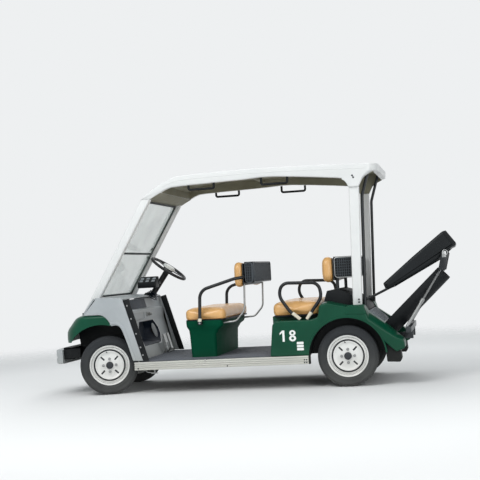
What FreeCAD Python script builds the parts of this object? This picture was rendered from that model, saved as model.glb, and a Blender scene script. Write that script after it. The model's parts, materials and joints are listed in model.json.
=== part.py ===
import FreeCAD, Part
import math
import os

os.makedirs("parts", exist_ok=True)

V = FreeCAD.Vector

# Overall layout, in millimetres. X is forward, Y is the vehicle's left, Z is up.
# The origin is on the ground, in the middle of the length and of the width.
FRONT_OVERHANG = 500.0
WHEELBASE = 2090.0
REAR_OVERHANG = 920.0
BODY_WIDTH = 1200.0
TRACK = 970.0

# Wheels and steering.
TYRE_DIAMETER = 500.0
TYRE_WIDTH = 150.0
RIM_DIAMETER = 338.0
RIM_BEAD = 306.0
RIM_WALL = 6.0
RIM_DISC_OFFSET = 38.0
HUB_DIAMETER = 62.0
NUT_CIRCLE = 108.0
KINGPIN_INSET = 85.0
KINGPIN_DIAMETER = 24.0
SPINDLE_DIAMETER = 30.0
STEER_REST = 19.0
STEER_ARM = 110.0
BEARING_GAP = 0.3
MOVING_GAP = 6.0
PIVOT_GAP = 0.5

# Frame, floor and sills.
RAIL_SPACING = 400.0
RAIL_WIDTH = 50.0
RAIL_DEPTH = 70.0
FLOOR_TOP = 270.0
FLOOR_THICKNESS = 18.0
MAT_THICKNESS = 10.0
SILL_HEIGHT = 68.0
SILL_DEPTH = 40.0
RAIL_FRONT_RISE = 70.0
RAIL_REAR_RISE = 90.0

# Bodywork.
PANEL = 6.0
NOSE_TOP = 682.0
NOSE_BOTTOM = 456.0
FRONT_ARCH_RADIUS = 350.0
REAR_ARCH_RADIUS = 315.0
COWL_TOP = 829.0
SEAT_PAN_TOP = 600.0
FENDER_DEPTH = 200.0
PILLAR_FOOT_Z = 657.0

# Roof and posts.
ROOF_TOP = 1842.0
POST_INSET = 63.0
ROOF_LAP = 3.0
REAR_POST_INSET = 80.0
REAR_POST_WIDTH = 45.0
ROOF_SKIN = 10.0
ROOF_SIDE = 34.0
ROOF_DEPTH = 212.0
JOINT_RISE = 15.0
POST_WIDTH = 62.0
GLASS_THICKNESS = 5.0
SEAL = 14.0

# Seats.
CUSHION_HEIGHT = 100.0
CUSHION_INSET = 100.0
BACK_INSET = 150.0
ARM_INSET = 52.0
BACK_THICKNESS = 95.0
BACK_BOTTOM = 850.0
BACK_TOP = 1075.0
TUBE = 28.0
BASKET_DEPTH = 190.0

# Bag bay.
TROUGH_COUNT = 4
TROUGH_WALL = 6.0
TROUGH_SIDE_GAP = 4.0
HOOD_LAP = 40.0
RACK_SIDE = 40.0

XF = (FRONT_OVERHANG + WHEELBASE + REAR_OVERHANG) / 2.0 - FRONT_OVERHANG
XR = XF - WHEELBASE
HALF = BODY_WIDTH / 2.0
WHEEL_Z = TYRE_DIAMETER / 2.0
WHEEL_Y = TRACK / 2.0
KINGPIN_Y = WHEEL_Y - KINGPIN_INSET
MAT_TOP = FLOOR_TOP + MAT_THICKNESS
fender_in = HALF - FENDER_DEPTH
post_top = ROOF_TOP - ROOF_DEPTH
joint_z = post_top + JOINT_RISE
post_out = HALF - POST_INSET
post_in = post_out - POST_WIDTH
glass_half = post_in - SEAL
roof_half = post_out + ROOF_LAP
rear_out = HALF - REAR_POST_INSET
cushion_half = HALF - CUSHION_INSET
back_half = HALF - BACK_INSET
arm_y = HALF - ARM_INSET
hood_half = fender_in + HOOD_LAP
rack_y = hood_half + RACK_SIDE
trough_radius = (fender_in - TROUGH_SIDE_GAP) / TROUGH_COUNT


def f(x):
    """Station measured from the front axle, positive forwards."""
    return XF + x


def r(x):
    """Station measured from the rear axle, positive forwards."""
    return XR + x


def box(x0, x1, y0, y1, z0, z1):
    return Part.makeBox(x1 - x0, y1 - y0, z1 - z0, V(x0, y0, z0))


def prism(points, y0, y1):
    """Extrude an outline drawn in X and Z from y0 to y1."""
    ring = [V(p[0], y0, p[1]) for p in points]
    ring.append(ring[0])
    return Part.Face(Part.makePolygon(ring)).extrude(V(0, y1 - y0, 0))


def plan(points, z0, z1):
    """Extrude an outline drawn in X and Y from z0 to z1."""
    ring = [V(p[0], p[1], z0) for p in points]
    ring.append(ring[0])
    return Part.Face(Part.makePolygon(ring)).extrude(V(0, 0, z1 - z0))


def rod(a, b, diameter):
    start = V(*a)
    run = V(*b) - start
    return Part.makeCylinder(diameter / 2.0, run.Length, start, run)


def mirror(shape):
    return shape.mirror(V(0, 0, 0), V(0, 1, 0))


def both(shape):
    return [shape, mirror(shape)]


def fuse(shapes):
    out = shapes[0]
    for shape in shapes[1:]:
        out = out.fuse(shape)
    return out.removeSplitter()


def rounded_path(points, radius):
    """Wire through the points with each inner corner replaced by an arc."""
    edges = []
    last = V(*points[0])
    for before, corner, after in zip(points, points[1:], points[2:]):
        c = V(*corner)
        u = (V(*before) - c).normalize()
        w = (V(*after) - c).normalize()
        half_angle = u.getAngle(w) / 2.0
        back = radius / math.tan(half_angle)
        start = c + u * back
        end = c + w * back
        bisector = (u + w).normalize()
        middle = c + bisector * (radius / math.sin(half_angle) - radius)
        edges.append(Part.makeLine(last, start))
        edges.append(Part.Arc(start, middle, end).toShape())
        last = end
    edges.append(Part.makeLine(last, V(*points[-1])))
    return Part.Wire(edges)


def tube(points, diameter, radius):
    path = rounded_path(points, radius)
    start = V(*points[0])
    along = V(*points[1]) - start
    ring = Part.Wire(Part.makeCircle(diameter / 2.0, start, along))
    return path.makePipeShell([ring], True, True)


def export(name, shapes):
    if not isinstance(shapes, list):
        shapes = [shapes]
    shape = shapes[0] if len(shapes) == 1 else Part.makeCompound(shapes)
    shape.exportStep("parts/" + name + ".step")


def shifted(points, origin):
    return [(origin + p[0], p[1]) for p in points]


def inset(points, gap):
    """Outline drawn inside another one at a constant distance."""
    ring = [V(p[0], 0, p[1]) for p in points]
    ring.append(ring[0])
    wire = Part.makePolygon(ring).makeOffset2D(-gap, 2, False, False, True)
    return [(v.X, v.Z) for v in wire.OrderedVertexes]


# Frame rails: low under the floor, raised over both axles.
rail_y = RAIL_SPACING / 2.0
rail_top = FLOOR_TOP - FLOOR_THICKNESS
rail_low = rail_top - RAIL_DEPTH
front_low = WHEEL_Z + RAIL_FRONT_RISE
rear_low = WHEEL_Z + RAIL_REAR_RISE
BEAM_BACK = 310.0
RAIL_TAIL = -350.0
rail_line = [
    (f(BEAM_BACK), front_low),
    (f(-215.0), front_low),
    (f(-300.0), rail_low),
    (r(430.0), rail_low),
    (r(330.0), rear_low),
    (r(RAIL_TAIL), rear_low),
]
rail_outline = rail_line + [
    (r(RAIL_TAIL), rear_low + RAIL_DEPTH),
    (r(300.0), rear_low + RAIL_DEPTH),
    (r(400.0), rail_top),
    (f(-318.0), rail_top),
    (f(-235.0), front_low + RAIL_DEPTH),
    (f(BEAM_BACK), front_low + RAIL_DEPTH),
]
rail = prism(rail_outline, rail_y - RAIL_WIDTH / 2.0, rail_y + RAIL_WIDTH / 2.0)
rail_inner = rail_y - RAIL_WIDTH / 2.0
CROSS_WIDTH = 60.0
cross = []
for x in (-520.0, -1000.0):
    cross.append(box(f(x), f(x) + CROSS_WIDTH, -rail_inner, rail_inner, rail_low, rail_top))
for x in (290.0 - CROSS_WIDTH, RAIL_TAIL):
    cross.append(box(r(x), r(x) + CROSS_WIDTH, -rail_inner, rail_inner, rear_low, rear_low + RAIL_DEPTH))
frame_solid = fuse([rail, mirror(rail)] + cross)

# Outriggers carry the sills from the rails.
SILL_FRONT = -278.0
SILL_REAR = 308.0
sill_in = HALF - SILL_DEPTH
rail_out = rail_y + RAIL_WIDTH / 2.0
outriggers = []
for x in (-520.0, -1000.0):
    outriggers += both(box(f(x), f(x) + CROSS_WIDTH, rail_out, sill_in, rail_top - 40.0, rail_top))
outriggers += both(box(r(450.0), r(450.0) + CROSS_WIDTH, rail_out, sill_in, rail_top - 40.0, rail_top))
export("chassis_frame", fuse([frame_solid] + outriggers))

# Floor board with a mat, from the toe board to the rear seat box.
FLOOR_FRONT = -318.0
BOX_FRONT = 630.0
export("floor_deck", box(r(BOX_FRONT), f(FLOOR_FRONT), -sill_in, sill_in, rail_top, FLOOR_TOP))
mat_front = f(FLOOR_FRONT) - PANEL
export("floor_mat", box(r(BOX_FRONT) + 6.0, mat_front, -sill_in, sill_in, FLOOR_TOP, MAT_TOP))

# Grooved sill extrusions.
sill = box(r(SILL_REAR), f(SILL_FRONT), sill_in, HALF, FLOOR_TOP - SILL_HEIGHT, FLOOR_TOP)
GROOVE = 5.0
for z in (18.0, 34.0, 50.0):
    groove_z = FLOOR_TOP - SILL_HEIGHT + z
    sill = sill.cut(box(r(SILL_REAR) - 1.0, f(SILL_FRONT) + 1.0, HALF - GROOVE, HALF + 1.0,
                        groove_z - 2.0, groove_z + 2.0))
export("sills", both(sill))

# Front bumper on its black box beam.
BUMPER_DEPTH = 112.0
BUMPER_LOW = 272.0
BUMPER_HIGH = 400.0
BUMPER_WIDTH = 1000.0
BUMPER_BOW = 50.0
VALANCE_BACK = 110.0
beam_high = front_low + RAIL_DEPTH + 22.0
beam_low = front_low - 10.0
beam_front = f(FRONT_OVERHANG - BUMPER_DEPTH)
bumper_half = BUMPER_WIDTH / 2.0


def bowed(x_front, half, bow, y):
    return x_front - bow * (y / half) ** 2


bumper_ys = [bumper_half * k / 6.0 for k in range(-6, 7)]
front_edge = [(bowed(f(FRONT_OVERHANG), bumper_half, BUMPER_BOW, y), y) for y in bumper_ys]
bumper_plan = front_edge + [(beam_front, bumper_half), (beam_front, -bumper_half)]
bumper = plan(bumper_plan, BUMPER_LOW, BUMPER_HIGH)
bumper = bumper.makeFillet(12.0, [e for e in bumper.Edges if e.BoundBox.ZLength < 0.1
                                  and e.BoundBox.XMax > beam_front + 1.0
                                  and e.BoundBox.YLength > 1.0 and e.BoundBox.XMin > beam_front + 1.0])
export("front_bumper", bumper)
BEAM_WIDTH = 940.0
beam = box(f(BEAM_BACK), beam_front, -BEAM_WIDTH / 2.0, BEAM_WIDTH / 2.0, beam_low, beam_high)
beam = beam.cut(box(f(BEAM_BACK) + 5.0, beam_front - 5.0, -BEAM_WIDTH, BEAM_WIDTH,
                    beam_low + 5.0, beam_high - 5.0))
valance_y = rail_y + RAIL_WIDTH / 2.0 + 18.0
valance = prism([(f(BEAM_BACK), beam_low), (f(BEAM_BACK), beam_high), (f(VALANCE_BACK), beam_high + 26.0),
                 (f(VALANCE_BACK + 40.0), beam_low + 22.0)], valance_y, valance_y + 5.0)
export("bumper_beam", fuse([beam, valance, mirror(valance)]))

# Green nose: a thin shell, open below, with the wheel arches cut in its sides.
NOSE_FRONT = 440.0
NOSE_BACK = -98.0
NOSE_CORNER = 200.0


def nose_plan(gap):
    out = []
    side = HALF - gap
    front = f(NOSE_FRONT) - gap
    steps = 8
    centre_x = f(NOSE_FRONT) - 60.0 - NOSE_CORNER
    centre_y = HALF - NOSE_CORNER
    radius = NOSE_CORNER - gap
    out.append((f(NOSE_BACK), side))
    for k in range(steps + 1):
        a = math.pi / 2.0 * (1.0 - k / steps)
        out.append((centre_x + radius * math.cos(a), centre_y + radius * math.sin(a)))
    out.append((front - 20.0, 200.0))
    out.append((front, 0.0))
    return out + [(x, -y) for x, y in reversed(out[:-1])]


def nose_side(gap):
    return [
        (f(NOSE_BACK), NOSE_BOTTOM - (1.0 if gap else 0.0)),
        (f(NOSE_FRONT) + 10.0, NOSE_BOTTOM - (1.0 if gap else 0.0)),
        (f(NOSE_FRONT) + 10.0, NOSE_BOTTOM + 90.0),
        (f(NOSE_FRONT) - 90.0 - gap * 0.6, NOSE_TOP - 40.0 - gap),
        (f(174.0), NOSE_TOP - gap),
        (f(NOSE_BACK), NOSE_TOP - 11.0 - gap),
    ]


nose_outer = plan(nose_plan(0.0), NOSE_BOTTOM - 5.0, NOSE_TOP + 5.0)
nose_outer = nose_outer.common(prism(nose_side(0.0), -HALF - 1.0, HALF + 1.0))
nose_inner = plan(nose_plan(PANEL), NOSE_BOTTOM - 9.0, NOSE_TOP + 5.0)
nose_inner = nose_inner.common(prism(nose_side(PANEL), -HALF - 1.0, HALF + 1.0))
nose = nose_outer.cut(nose_inner)
arch = Part.makeCylinder(FRONT_ARCH_RADIUS, BODY_WIDTH + 20.0, V(f(0.0), -HALF - 10.0, WHEEL_Z), V(0, 1, 0))
nose = nose.cut(arch)
# The grey cowl comes up through the middle of the nose's top.
COWL_HALF = HALF - 14.0
cowl_seat = [
    (f(-400.0), 600.0),
    (f(190.0), 600.0),
    (f(190.0), NOSE_TOP + 20.0),
    (f(-400.0), NOSE_TOP + 20.0),
]
nose = nose.cut(prism(cowl_seat, -COWL_HALF + 30.0, COWL_HALF - 30.0))
export("nose_panel", nose)

# Grey cowl: side cheeks, sloping front and dash top, one shell open to the cabin.
cowl_outline = [
    (f(182.0), NOSE_TOP),
    (f(75.0), COWL_TOP - 10.0),
    (f(40.0), COWL_TOP),
    (f(-185.0), COWL_TOP - 12.0),
    (f(-211.0), COWL_TOP - 34.0),
    (f(-364.0), FLOOR_TOP + 12.0),
    (f(-280.0), FLOOR_TOP + 12.0),
    (f(-170.0), 588.0),
    (f(-100.0), 612.0),
    (f(-98.0), NOSE_TOP),
]
cowl_room = [
    (f(166.0), NOSE_TOP - 1.0),
    (f(68.0), COWL_TOP - 18.0),
    (f(38.0), COWL_TOP - PANEL),
    (f(-400.0), COWL_TOP - PANEL - 22.0),
    (f(-420.0), FLOOR_TOP - 20.0),
    (f(-98.0), FLOOR_TOP - 20.0),
    (f(-98.0), NOSE_TOP - 1.0),
]
cowl = prism(cowl_outline, -HALF + 2.0, HALF - 2.0)
cowl = cowl.cut(prism(cowl_room, -HALF + 14.0, HALF - 14.0))
export("cowl", cowl)


def strip_outline(offset, width):
    top = (-211.0, COWL_TOP - 34.0)
    low = (-364.0, FLOOR_TOP + 12.0)
    run = math.hypot(top[0] - low[0], top[1] - low[1])
    nx = -(top[1] - low[1]) / run
    nz = (top[0] - low[0]) / run
    return [
        (f(top[0] + nx * offset), top[1] + nz * offset),
        (f(top[0] + nx * (offset + width)), top[1] + nz * (offset + width)),
        (f(low[0] + nx * (offset + width)), low[1]),
        (f(low[0] + nx * offset), low[1]),
    ]


STRIP_WIDTH = 52.0
export("cowl_edge_strips", both(prism(strip_outline(0.0, STRIP_WIDTH), HALF - 24.0, HALF - 2.0)))

# Dash and toe board in one pressed panel, with a dark leg pocket let into it.
DASH_TOP = COWL_TOP - PANEL - 28.0
DASH_LEDGE = 695.0
DASH_LOW = 600.0
DASH_X = -232.0
TOE_X = FLOOR_FRONT
panel_y = HALF - 14.0
panel_front = [
    (f(-150.0), DASH_TOP - 7.0),
    (f(-186.0), DASH_TOP - 8.0),
    (f(-206.0), DASH_LEDGE + 8.0),
    (f(DASH_X + PANEL), DASH_LEDGE - 2.0),
    (f(DASH_X + PANEL), DASH_LOW),
    (f(TOE_X), FLOOR_TOP),
]
panel_back = [
    (f(TOE_X) - PANEL, FLOOR_TOP),
    (f(DASH_X), DASH_LOW),
    (f(DASH_X), DASH_LEDGE + 4.0),
    (f(-212.0), DASH_LEDGE + 13.0),
    (f(-191.0), DASH_TOP - 1.0),
    (f(-150.0), DASH_TOP),
]
POCKET_INSET = 210.0
POCKET_HALF = HALF - POCKET_INSET
POCKET_LOW = 365.0
POCKET_HIGH = DASH_LOW - 6.0
POCKET_DEPTH = 100.0
POCKET_TAPER = 150.0
POCKET_CORNER = 70.0
pocket_x = f(TOE_X) - 60.0


def pocket_face(x, half, low, high, corner):
    ring = [
        (-half, low + corner), (-half, high - corner), (-half + corner, high), (half - corner, high),
        (half, high - corner), (half, low + corner), (half - corner, low), (-half + corner, low),
    ]
    points = [V(x, y, z) for y, z in ring]
    return Part.makePolygon(points + [points[0]])


def pocket_solid(gap):
    near = pocket_face(pocket_x, POCKET_HALF - gap, POCKET_LOW + gap, POCKET_HIGH - gap, POCKET_CORNER)
    far_x = f(DASH_X) + POCKET_DEPTH - gap
    far = pocket_face(far_x, POCKET_HALF - POCKET_TAPER - gap, POCKET_LOW + 45.0 + gap, POCKET_HIGH - gap,
                      POCKET_CORNER)
    return Part.makeLoft([near, far], True, True)


panel_outline = panel_front + panel_back
bulkhead = prism(panel_outline, -panel_y, panel_y)
pocket_room = prism(panel_front[3:] + [(f(TOE_X) + 300.0, FLOOR_TOP), (f(TOE_X) + 300.0, DASH_LEDGE)],
                    -panel_y, panel_y)
pocket_block = pocket_solid(0.0)
bulkhead = bulkhead.cut(pocket_block)
export("bulkhead", bulkhead)
pocket = pocket_block.cut(pocket_solid(PANEL)).common(pocket_room)
export("leg_pocket", pocket)

# Steering column, wheel and control pod on the driver's side.
DRIVER_Y = -300.0
WHEEL_CENTRE = (f(-381.0), DRIVER_Y, 1051.0)
COLUMN_SLOPE = 54.0
STEERING_DIAMETER = 376.0
col = V(math.cos(math.radians(COLUMN_SLOPE)), 0, -math.sin(math.radians(COLUMN_SLOPE)))
hub = V(*WHEEL_CENTRE)


def along(distance):
    p = hub + col * distance
    return (p.x, p.y, p.z)


COLUMN_DIAMETER = 54.0
column = rod(along(30.0), along(330.0), COLUMN_DIAMETER)
boot = Part.makeCone(74.0, 40.0, 46.0, V(f(-186.0), DRIVER_Y, COWL_TOP - 34.0), V(0, 0, 1))
column_cut = prism(cowl_outline, -HALF, HALF)
boot = boot.fuse(column).removeSplitter().cut(column_cut).cut(prism(cowl_room, -HALF, HALF))
export("steering_column", boot)

rim = Part.makeTorus(STEERING_DIAMETER / 2.0 - 14.0, 14.0, hub, col)
spokes = []
SPOKE_WIDTH = 34.0
for angle in (90.0, 210.0, 330.0):
    spoke = Part.makeBox(STEERING_DIAMETER / 2.0 - 14.0, SPOKE_WIDTH, 10.0, V(0, -SPOKE_WIDTH / 2.0, -5.0))
    spoke.rotate(V(0, 0, 0), V(0, 0, 1), angle)
    spokes.append(spoke)
boss = Part.makeCylinder(52.0, 40.0, V(0, 0, -20.0))
centre = fuse([boss] + spokes)
centre.rotate(V(0, 0, 0), V(0, 1, 0), 90.0 + COLUMN_SLOPE)
centre.translate(hub)
neck = rod(along(0.0), along(30.0 - BEARING_GAP), 40.0)
export("steering_wheel", fuse([rim, centre, neck]))

POD_GAP = 58.0
POD_WIDTH = 120.0
pod_right = DRIVER_Y + COLUMN_DIAMETER / 2.0 + POD_GAP
pod = box(f(-308.0), f(-136.0), pod_right, pod_right + POD_WIDTH, 886.0, 990.0)
pod = pod.makeFillet(16.0, pod.Edges)
bracket_y = pod_right + 30.0
pod_bracket = box(f(-300.0) - 14.0, f(-300.0) + 22.0, DRIVER_Y, bracket_y, 916.0, 946.0)
pod_bracket = pod_bracket.cut(rod(along(0.0), along(330.0), COLUMN_DIAMETER))
pod_bracket = max(pod_bracket.Solids, key=lambda solid: solid.BoundBox.YMax)
export("control_pod", fuse([pod, pod_bracket]))

# Pedals on arms from the toe board.
toe_run = V(f(DASH_X) - (f(TOE_X) - PANEL), 0, DASH_LOW - FLOOR_TOP)
toe_run.normalize()
toe_normal = V(-toe_run.z, 0, toe_run.x)
toe_foot = V(f(TOE_X) - PANEL, 0, FLOOR_TOP)


def on_toe(s, n):
    p = toe_foot + toe_run * s + toe_normal * n
    return (p.x, p.z)


PEDAL_ARM = 40.0
PEDAL_THICKNESS = 10.0
pedals = []
for y0, width, s0, length in ((-262.0, 84.0, 96.0, 84.0), (-366.0, 56.0, 30.0, 150.0)):
    mid_y = y0 + width / 2.0
    low_s = 8.0
    arm = prism([on_toe(low_s, 0.0), on_toe(low_s + 18.0, 0.0), on_toe(low_s + 40.0, PEDAL_ARM),
                 on_toe(s0 + length / 2.0, PEDAL_ARM), on_toe(s0 + length / 2.0, PEDAL_ARM + 6.0),
                 on_toe(low_s + 20.0, PEDAL_ARM + 6.0)], mid_y - 9.0, mid_y + 9.0)
    pad = prism([on_toe(s0, PEDAL_ARM + 6.0), on_toe(s0 + length, PEDAL_ARM + 6.0),
                 on_toe(s0 + length, PEDAL_ARM + 6.0 + PEDAL_THICKNESS),
                 on_toe(s0, PEDAL_ARM + 6.0 + PEDAL_THICKNESS)], y0, y0 + width)
    pedals.append(fuse([arm, pad]).cut(box(f(TOE_X) - 400.0, f(TOE_X), -HALF, HALF, 0.0, MAT_TOP)))
export("pedals", pedals)

# Front posts, their foot lying on the cowl.
POST_FOOT_Z = 684.0
POST_FOOT_X = 140.0
POST_HEAD_X = -440.0
POST_DEPTH = 84.0
post_outline = [
    (f(POST_FOOT_X + POST_DEPTH / 2.0), POST_FOOT_Z),
    (f(POST_FOOT_X - POST_DEPTH / 2.0), POST_FOOT_Z),
    (f(POST_HEAD_X - POST_DEPTH / 2.0), joint_z),
    (f(POST_HEAD_X + POST_DEPTH / 2.0), joint_z),
]
post = prism(post_outline, post_in, post_out)
post = post.makeFillet(14.0, [e for e in post.Edges if e.Length > 900.0])
front_posts = []
for p in both(post):
    front_posts.append(p.cut(prism(cowl_outline, -HALF, HALF)))

# Windscreen: two panes in dark seals with a bar between them.
GLASS_FOOT = 175.0
GLASS_HEAD_GAP = 11.5
MID_BAR = 430.0
slope = V(POST_HEAD_X - POST_FOOT_X, 0, joint_z - POST_FOOT_Z)
slope_length = slope.Length
slope.normalize()
outward = V(slope.z, 0, -slope.x)
glass_foot = V(f(POST_FOOT_X), 0, POST_FOOT_Z) + slope * GLASS_FOOT
GLASS_RUN = slope_length - GLASS_FOOT - GLASS_HEAD_GAP


def on_glass(s, n):
    p = glass_foot + slope * s + outward * n
    return (p.x, p.z)


def slab(s0, s1, n0, n1, y0, y1):
    return prism([on_glass(s0, n0), on_glass(s1, n0), on_glass(s1, n1), on_glass(s0, n1)], y0, y1)


gt = GLASS_THICKNESS / 2.0
st = SEAL / 2.0
panes = [slab(SEAL, MID_BAR - st, -gt, gt, -glass_half, glass_half),
         slab(MID_BAR + st, GLASS_RUN - SEAL, -gt, gt, -glass_half, glass_half)]
export("windscreen_panes", panes)
seals = both(slab(0.0, GLASS_RUN, -st, st, glass_half, post_in))
for s0 in (0.0, MID_BAR - st, GLASS_RUN - SEAL):
    seals.append(slab(s0, s0 + SEAL, -st, st, -glass_half, glass_half))
export("windscreen_seals", seals)

# Roof: an inverted tray with legs that come down on the four posts.
REAR_POST_DEPTH = 84.0
REAR_POST_X = -104.0
ROOF_TAIL = -330.0
roof_outline = [
    (f(POST_HEAD_X + POST_DEPTH / 2.0), joint_z),
    (f(-500.0), ROOF_TOP - 124.0),
    (f(-580.0), ROOF_TOP - 70.0),
    (f(-654.0), ROOF_TOP - 26.0),
    (f(-760.0), ROOF_TOP - 14.0),
    (f(-1275.0), ROOF_TOP),
    (r(540.0), ROOF_TOP - 3.0),
    (r(ROOF_TAIL), ROOF_TOP - 31.0),
    (r(ROOF_TAIL + 8.0), ROOF_TOP - 88.0),
    (r(-250.0), ROOF_TOP - 112.0),
    (r(-190.0), ROOF_TOP - 155.0),
    (r(REAR_POST_X - REAR_POST_DEPTH / 2.0 - 22.0), post_top),
    (r(REAR_POST_X + REAR_POST_DEPTH / 2.0 - 22.0), post_top),
    (r(-62.0), ROOF_TOP - 170.0),
    (r(-30.0), ROOF_TOP - 145.0),
    (r(20.0), ROOF_TOP - 128.0),
    (r(540.0), ROOF_TOP - 80.0),
    (f(-1275.0), ROOF_TOP - 88.0),
    (f(-740.0), ROOF_TOP - 104.0),
    (f(-640.0), ROOF_TOP - 118.0),
    (f(-580.0), ROOF_TOP - 145.0),
    (f(POST_HEAD_X - POST_DEPTH / 2.0), joint_z),
]
skin = ROOF_SKIN
roof_room = [
    (f(POST_HEAD_X - 60.0), joint_z - 20.0),
    (f(POST_HEAD_X + 22.0), joint_z - 20.0),
    (f(-508.0), ROOF_TOP - 124.0 - skin),
    (f(-584.0), ROOF_TOP - 70.0 - skin),
    (f(-657.0), ROOF_TOP - 27.0 - skin),
    (f(-760.0), ROOF_TOP - 14.0 - skin),
    (f(-1275.0), ROOF_TOP - skin),
    (r(540.0), ROOF_TOP - 3.0 - skin),
    (r(ROOF_TAIL + 16.0), ROOF_TOP - 31.0 - skin),
    (r(ROOF_TAIL + 24.0), ROOF_TOP - 88.0),
    (r(ROOF_TAIL + 24.0), post_top - 20.0),
]
roof = prism(roof_outline, -roof_half, roof_half)
roof = roof.cut(prism(roof_room, -roof_half + ROOF_SIDE, roof_half - ROOF_SIDE))
RIB_WIDTH = 60.0
RIB_DROP = 26.0
ribs = []
for x in (-640.0, -1275.0):
    ribs.append(box(f(x) - RIB_WIDTH / 2.0, f(x) + RIB_WIDTH / 2.0, -roof_half + ROOF_SIDE - 1.0,
                    roof_half - ROOF_SIDE + 1.0, ROOF_TOP - 70.0, ROOF_TOP - skin - 1.0))
rib_room = prism(roof_outline, -roof_half, roof_half)
roof = fuse([roof] + [rib.common(rib_room) for rib in ribs])
export("roof", roof)

# Grab handles, bolted under the lower edge of each roof side.
GRIP_LENGTH = 220.0
GRIP_DROP = 36.0
GRIP_TUBE = 20.0
grip_y = roof_half - ROOF_SIDE / 2.0
roof_solid = prism(roof_outline, -roof_half, roof_half)
grips = []
for x0 in (f(-823.0), f(-1449.0)):
    level = ROOF_TOP - 104.0
    path = [(x0, grip_y, level + 60.0), (x0, grip_y, level - GRIP_DROP), (x0 - GRIP_LENGTH, grip_y, level - GRIP_DROP),
            (x0 - GRIP_LENGTH, grip_y, level + 60.0)]
    grips += both(tube(path, GRIP_TUBE, 16.0).cut(roof_solid))
export("grab_handles", grips)

# Rear posts with a bent stay behind each.
rear_outline = [
    (r(REAR_POST_X + REAR_POST_DEPTH / 2.0), PILLAR_FOOT_Z),
    (r(REAR_POST_X - REAR_POST_DEPTH / 2.0 + 8.0), PILLAR_FOOT_Z),
    (r(REAR_POST_X - REAR_POST_DEPTH / 2.0 - 22.0), post_top),
    (r(REAR_POST_X + REAR_POST_DEPTH / 2.0 - 22.0), post_top),
]
rear_post = prism(rear_outline, rear_out - REAR_POST_WIDTH, rear_out)
rear_post = rear_post.makeFillet(12.0, [e for e in rear_post.Edges if e.Length > 900.0])
export("roof_posts", front_posts + both(rear_post))
# Rear body: a green fender shell on each side with its wheel arch.
BODY_FRONT_LOW = 633.0
SHOULDER_INSET = 100.0
SHOULDER_DROP = 55.0
body_low = FLOOR_TOP + 2.0


def fender_ring(y, drop, gap):
    """Fender outline at one y; drop lowers its tail, gap draws it inwards."""
    points = [
        (BODY_FRONT_LOW - gap, body_low + (-1.0 if gap else 0.0)),
        (BODY_FRONT_LOW - 30.0 - gap, SEAT_PAN_TOP - 60.0),
        (BODY_FRONT_LOW - 52.0 - gap * 0.5, SEAT_PAN_TOP - 30.0 - gap),
        (286.0, SEAT_PAN_TOP - 38.0 - gap),
        (222.0 - gap, SEAT_PAN_TOP - 16.0 - gap),
        (200.0 - gap, PILLAR_FOOT_Z + 32.0 - gap - drop * 0.2),
        (160.0, PILLAR_FOOT_Z + 48.0 - gap - drop * 0.2),
        (-30.0, PILLAR_FOOT_Z - gap - drop * 0.1),
        (-152.0, PILLAR_FOOT_Z - gap - drop * 0.1),
        (-176.0 + gap * 0.6, 606.0 - gap - drop),
        (-310.0 + gap * 0.6, 507.0 - gap - drop),
        (-400.0 + gap * 0.6, 420.0 - gap - drop * 0.6),
        (-468.0 + gap, 372.0 - gap),
        (-472.0 + gap, 302.0),
        (-392.0, 272.0 + (gap * 0.4 if gap else 0.0)),
        (-285.0, 385.0),
        (-240.0, body_low + (-1.0 if gap else 0.0)),
    ]
    ring = [V(r(x), y, z) for x, z in points]
    return Part.makePolygon(ring + [ring[0]])


def fender_body(gap):
    y0 = fender_in + gap
    y1 = HALF - SHOULDER_INSET
    y2 = HALF - gap
    inner = Part.makeLoft([fender_ring(y0, 0.0, gap), fender_ring(y1, 0.0, gap)], True, True)
    outer = Part.makeLoft([fender_ring(y1, 0.0, gap), fender_ring(y2, SHOULDER_DROP, gap)], True, True)
    return inner.fuse(outer)


arch_cyl = Part.makeCylinder(REAR_ARCH_RADIUS, FENDER_DEPTH + 4.0, V(XR, fender_in - 2.0, WHEEL_Z), V(0, 1, 0))
liner = Part.makeCylinder(REAR_ARCH_RADIUS + PANEL, FENDER_DEPTH, V(XR, fender_in, WHEEL_Z), V(0, 1, 0))
fender_solid = fender_body(0.0)
fender_shell = fender_solid.cut(fender_body(PANEL))
fender = fuse([fender_shell, fender_solid.common(liner)]).cut(arch_cyl)
fender = max(fender.Solids, key=lambda solid: solid.Volume)
export("rear_fenders", both(fender))

# Bent stays from the fenders' shoulders up to the roof's tail.
STAY_TUBE = 25.0
STAY_INSET = 52.0
STAY_Y = rear_out - STAY_INSET
stay_top = (r(-262.0), STAY_Y, ROOF_TOP - 33.0)
stay = tube([(r(-158.0), STAY_Y, PILLAR_FOOT_Z - 4.0), (r(-186.0), STAY_Y, post_top - 70.0), stay_top], STAY_TUBE, 120.0)
stay = stay.cut(roof).cut(fender_solid)
stay = max(stay.Solids, key=lambda solid: solid.Volume)
export("roof_stays", both(stay))

# Rear seat box between the fenders, with the power unit standing on the rails inside.
BOX_BACK = 215.0
seat_box = box(r(BOX_BACK), r(BOX_FRONT), -fender_in, fender_in, FLOOR_TOP, SEAT_PAN_TOP - 6.0)
seat_box = seat_box.cut(box(r(BOX_BACK) - 1.0, r(BOX_FRONT) - PANEL, -fender_in + PANEL, fender_in - PANEL,
                            FLOOR_TOP - 1.0, SEAT_PAN_TOP - 6.0 - PANEL))
export("rear_seat_box", seat_box)

# Cushions and backrests.
FRONT_SEAT_X = -715.0
FRONT_SEAT_DEPTH = 358.0


def pad(x0, x1, half, z0, z1, radius):
    shape = box(x0, x1, -half, half, z0, z1)
    return shape.makeFillet(radius, shape.Edges)


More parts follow.
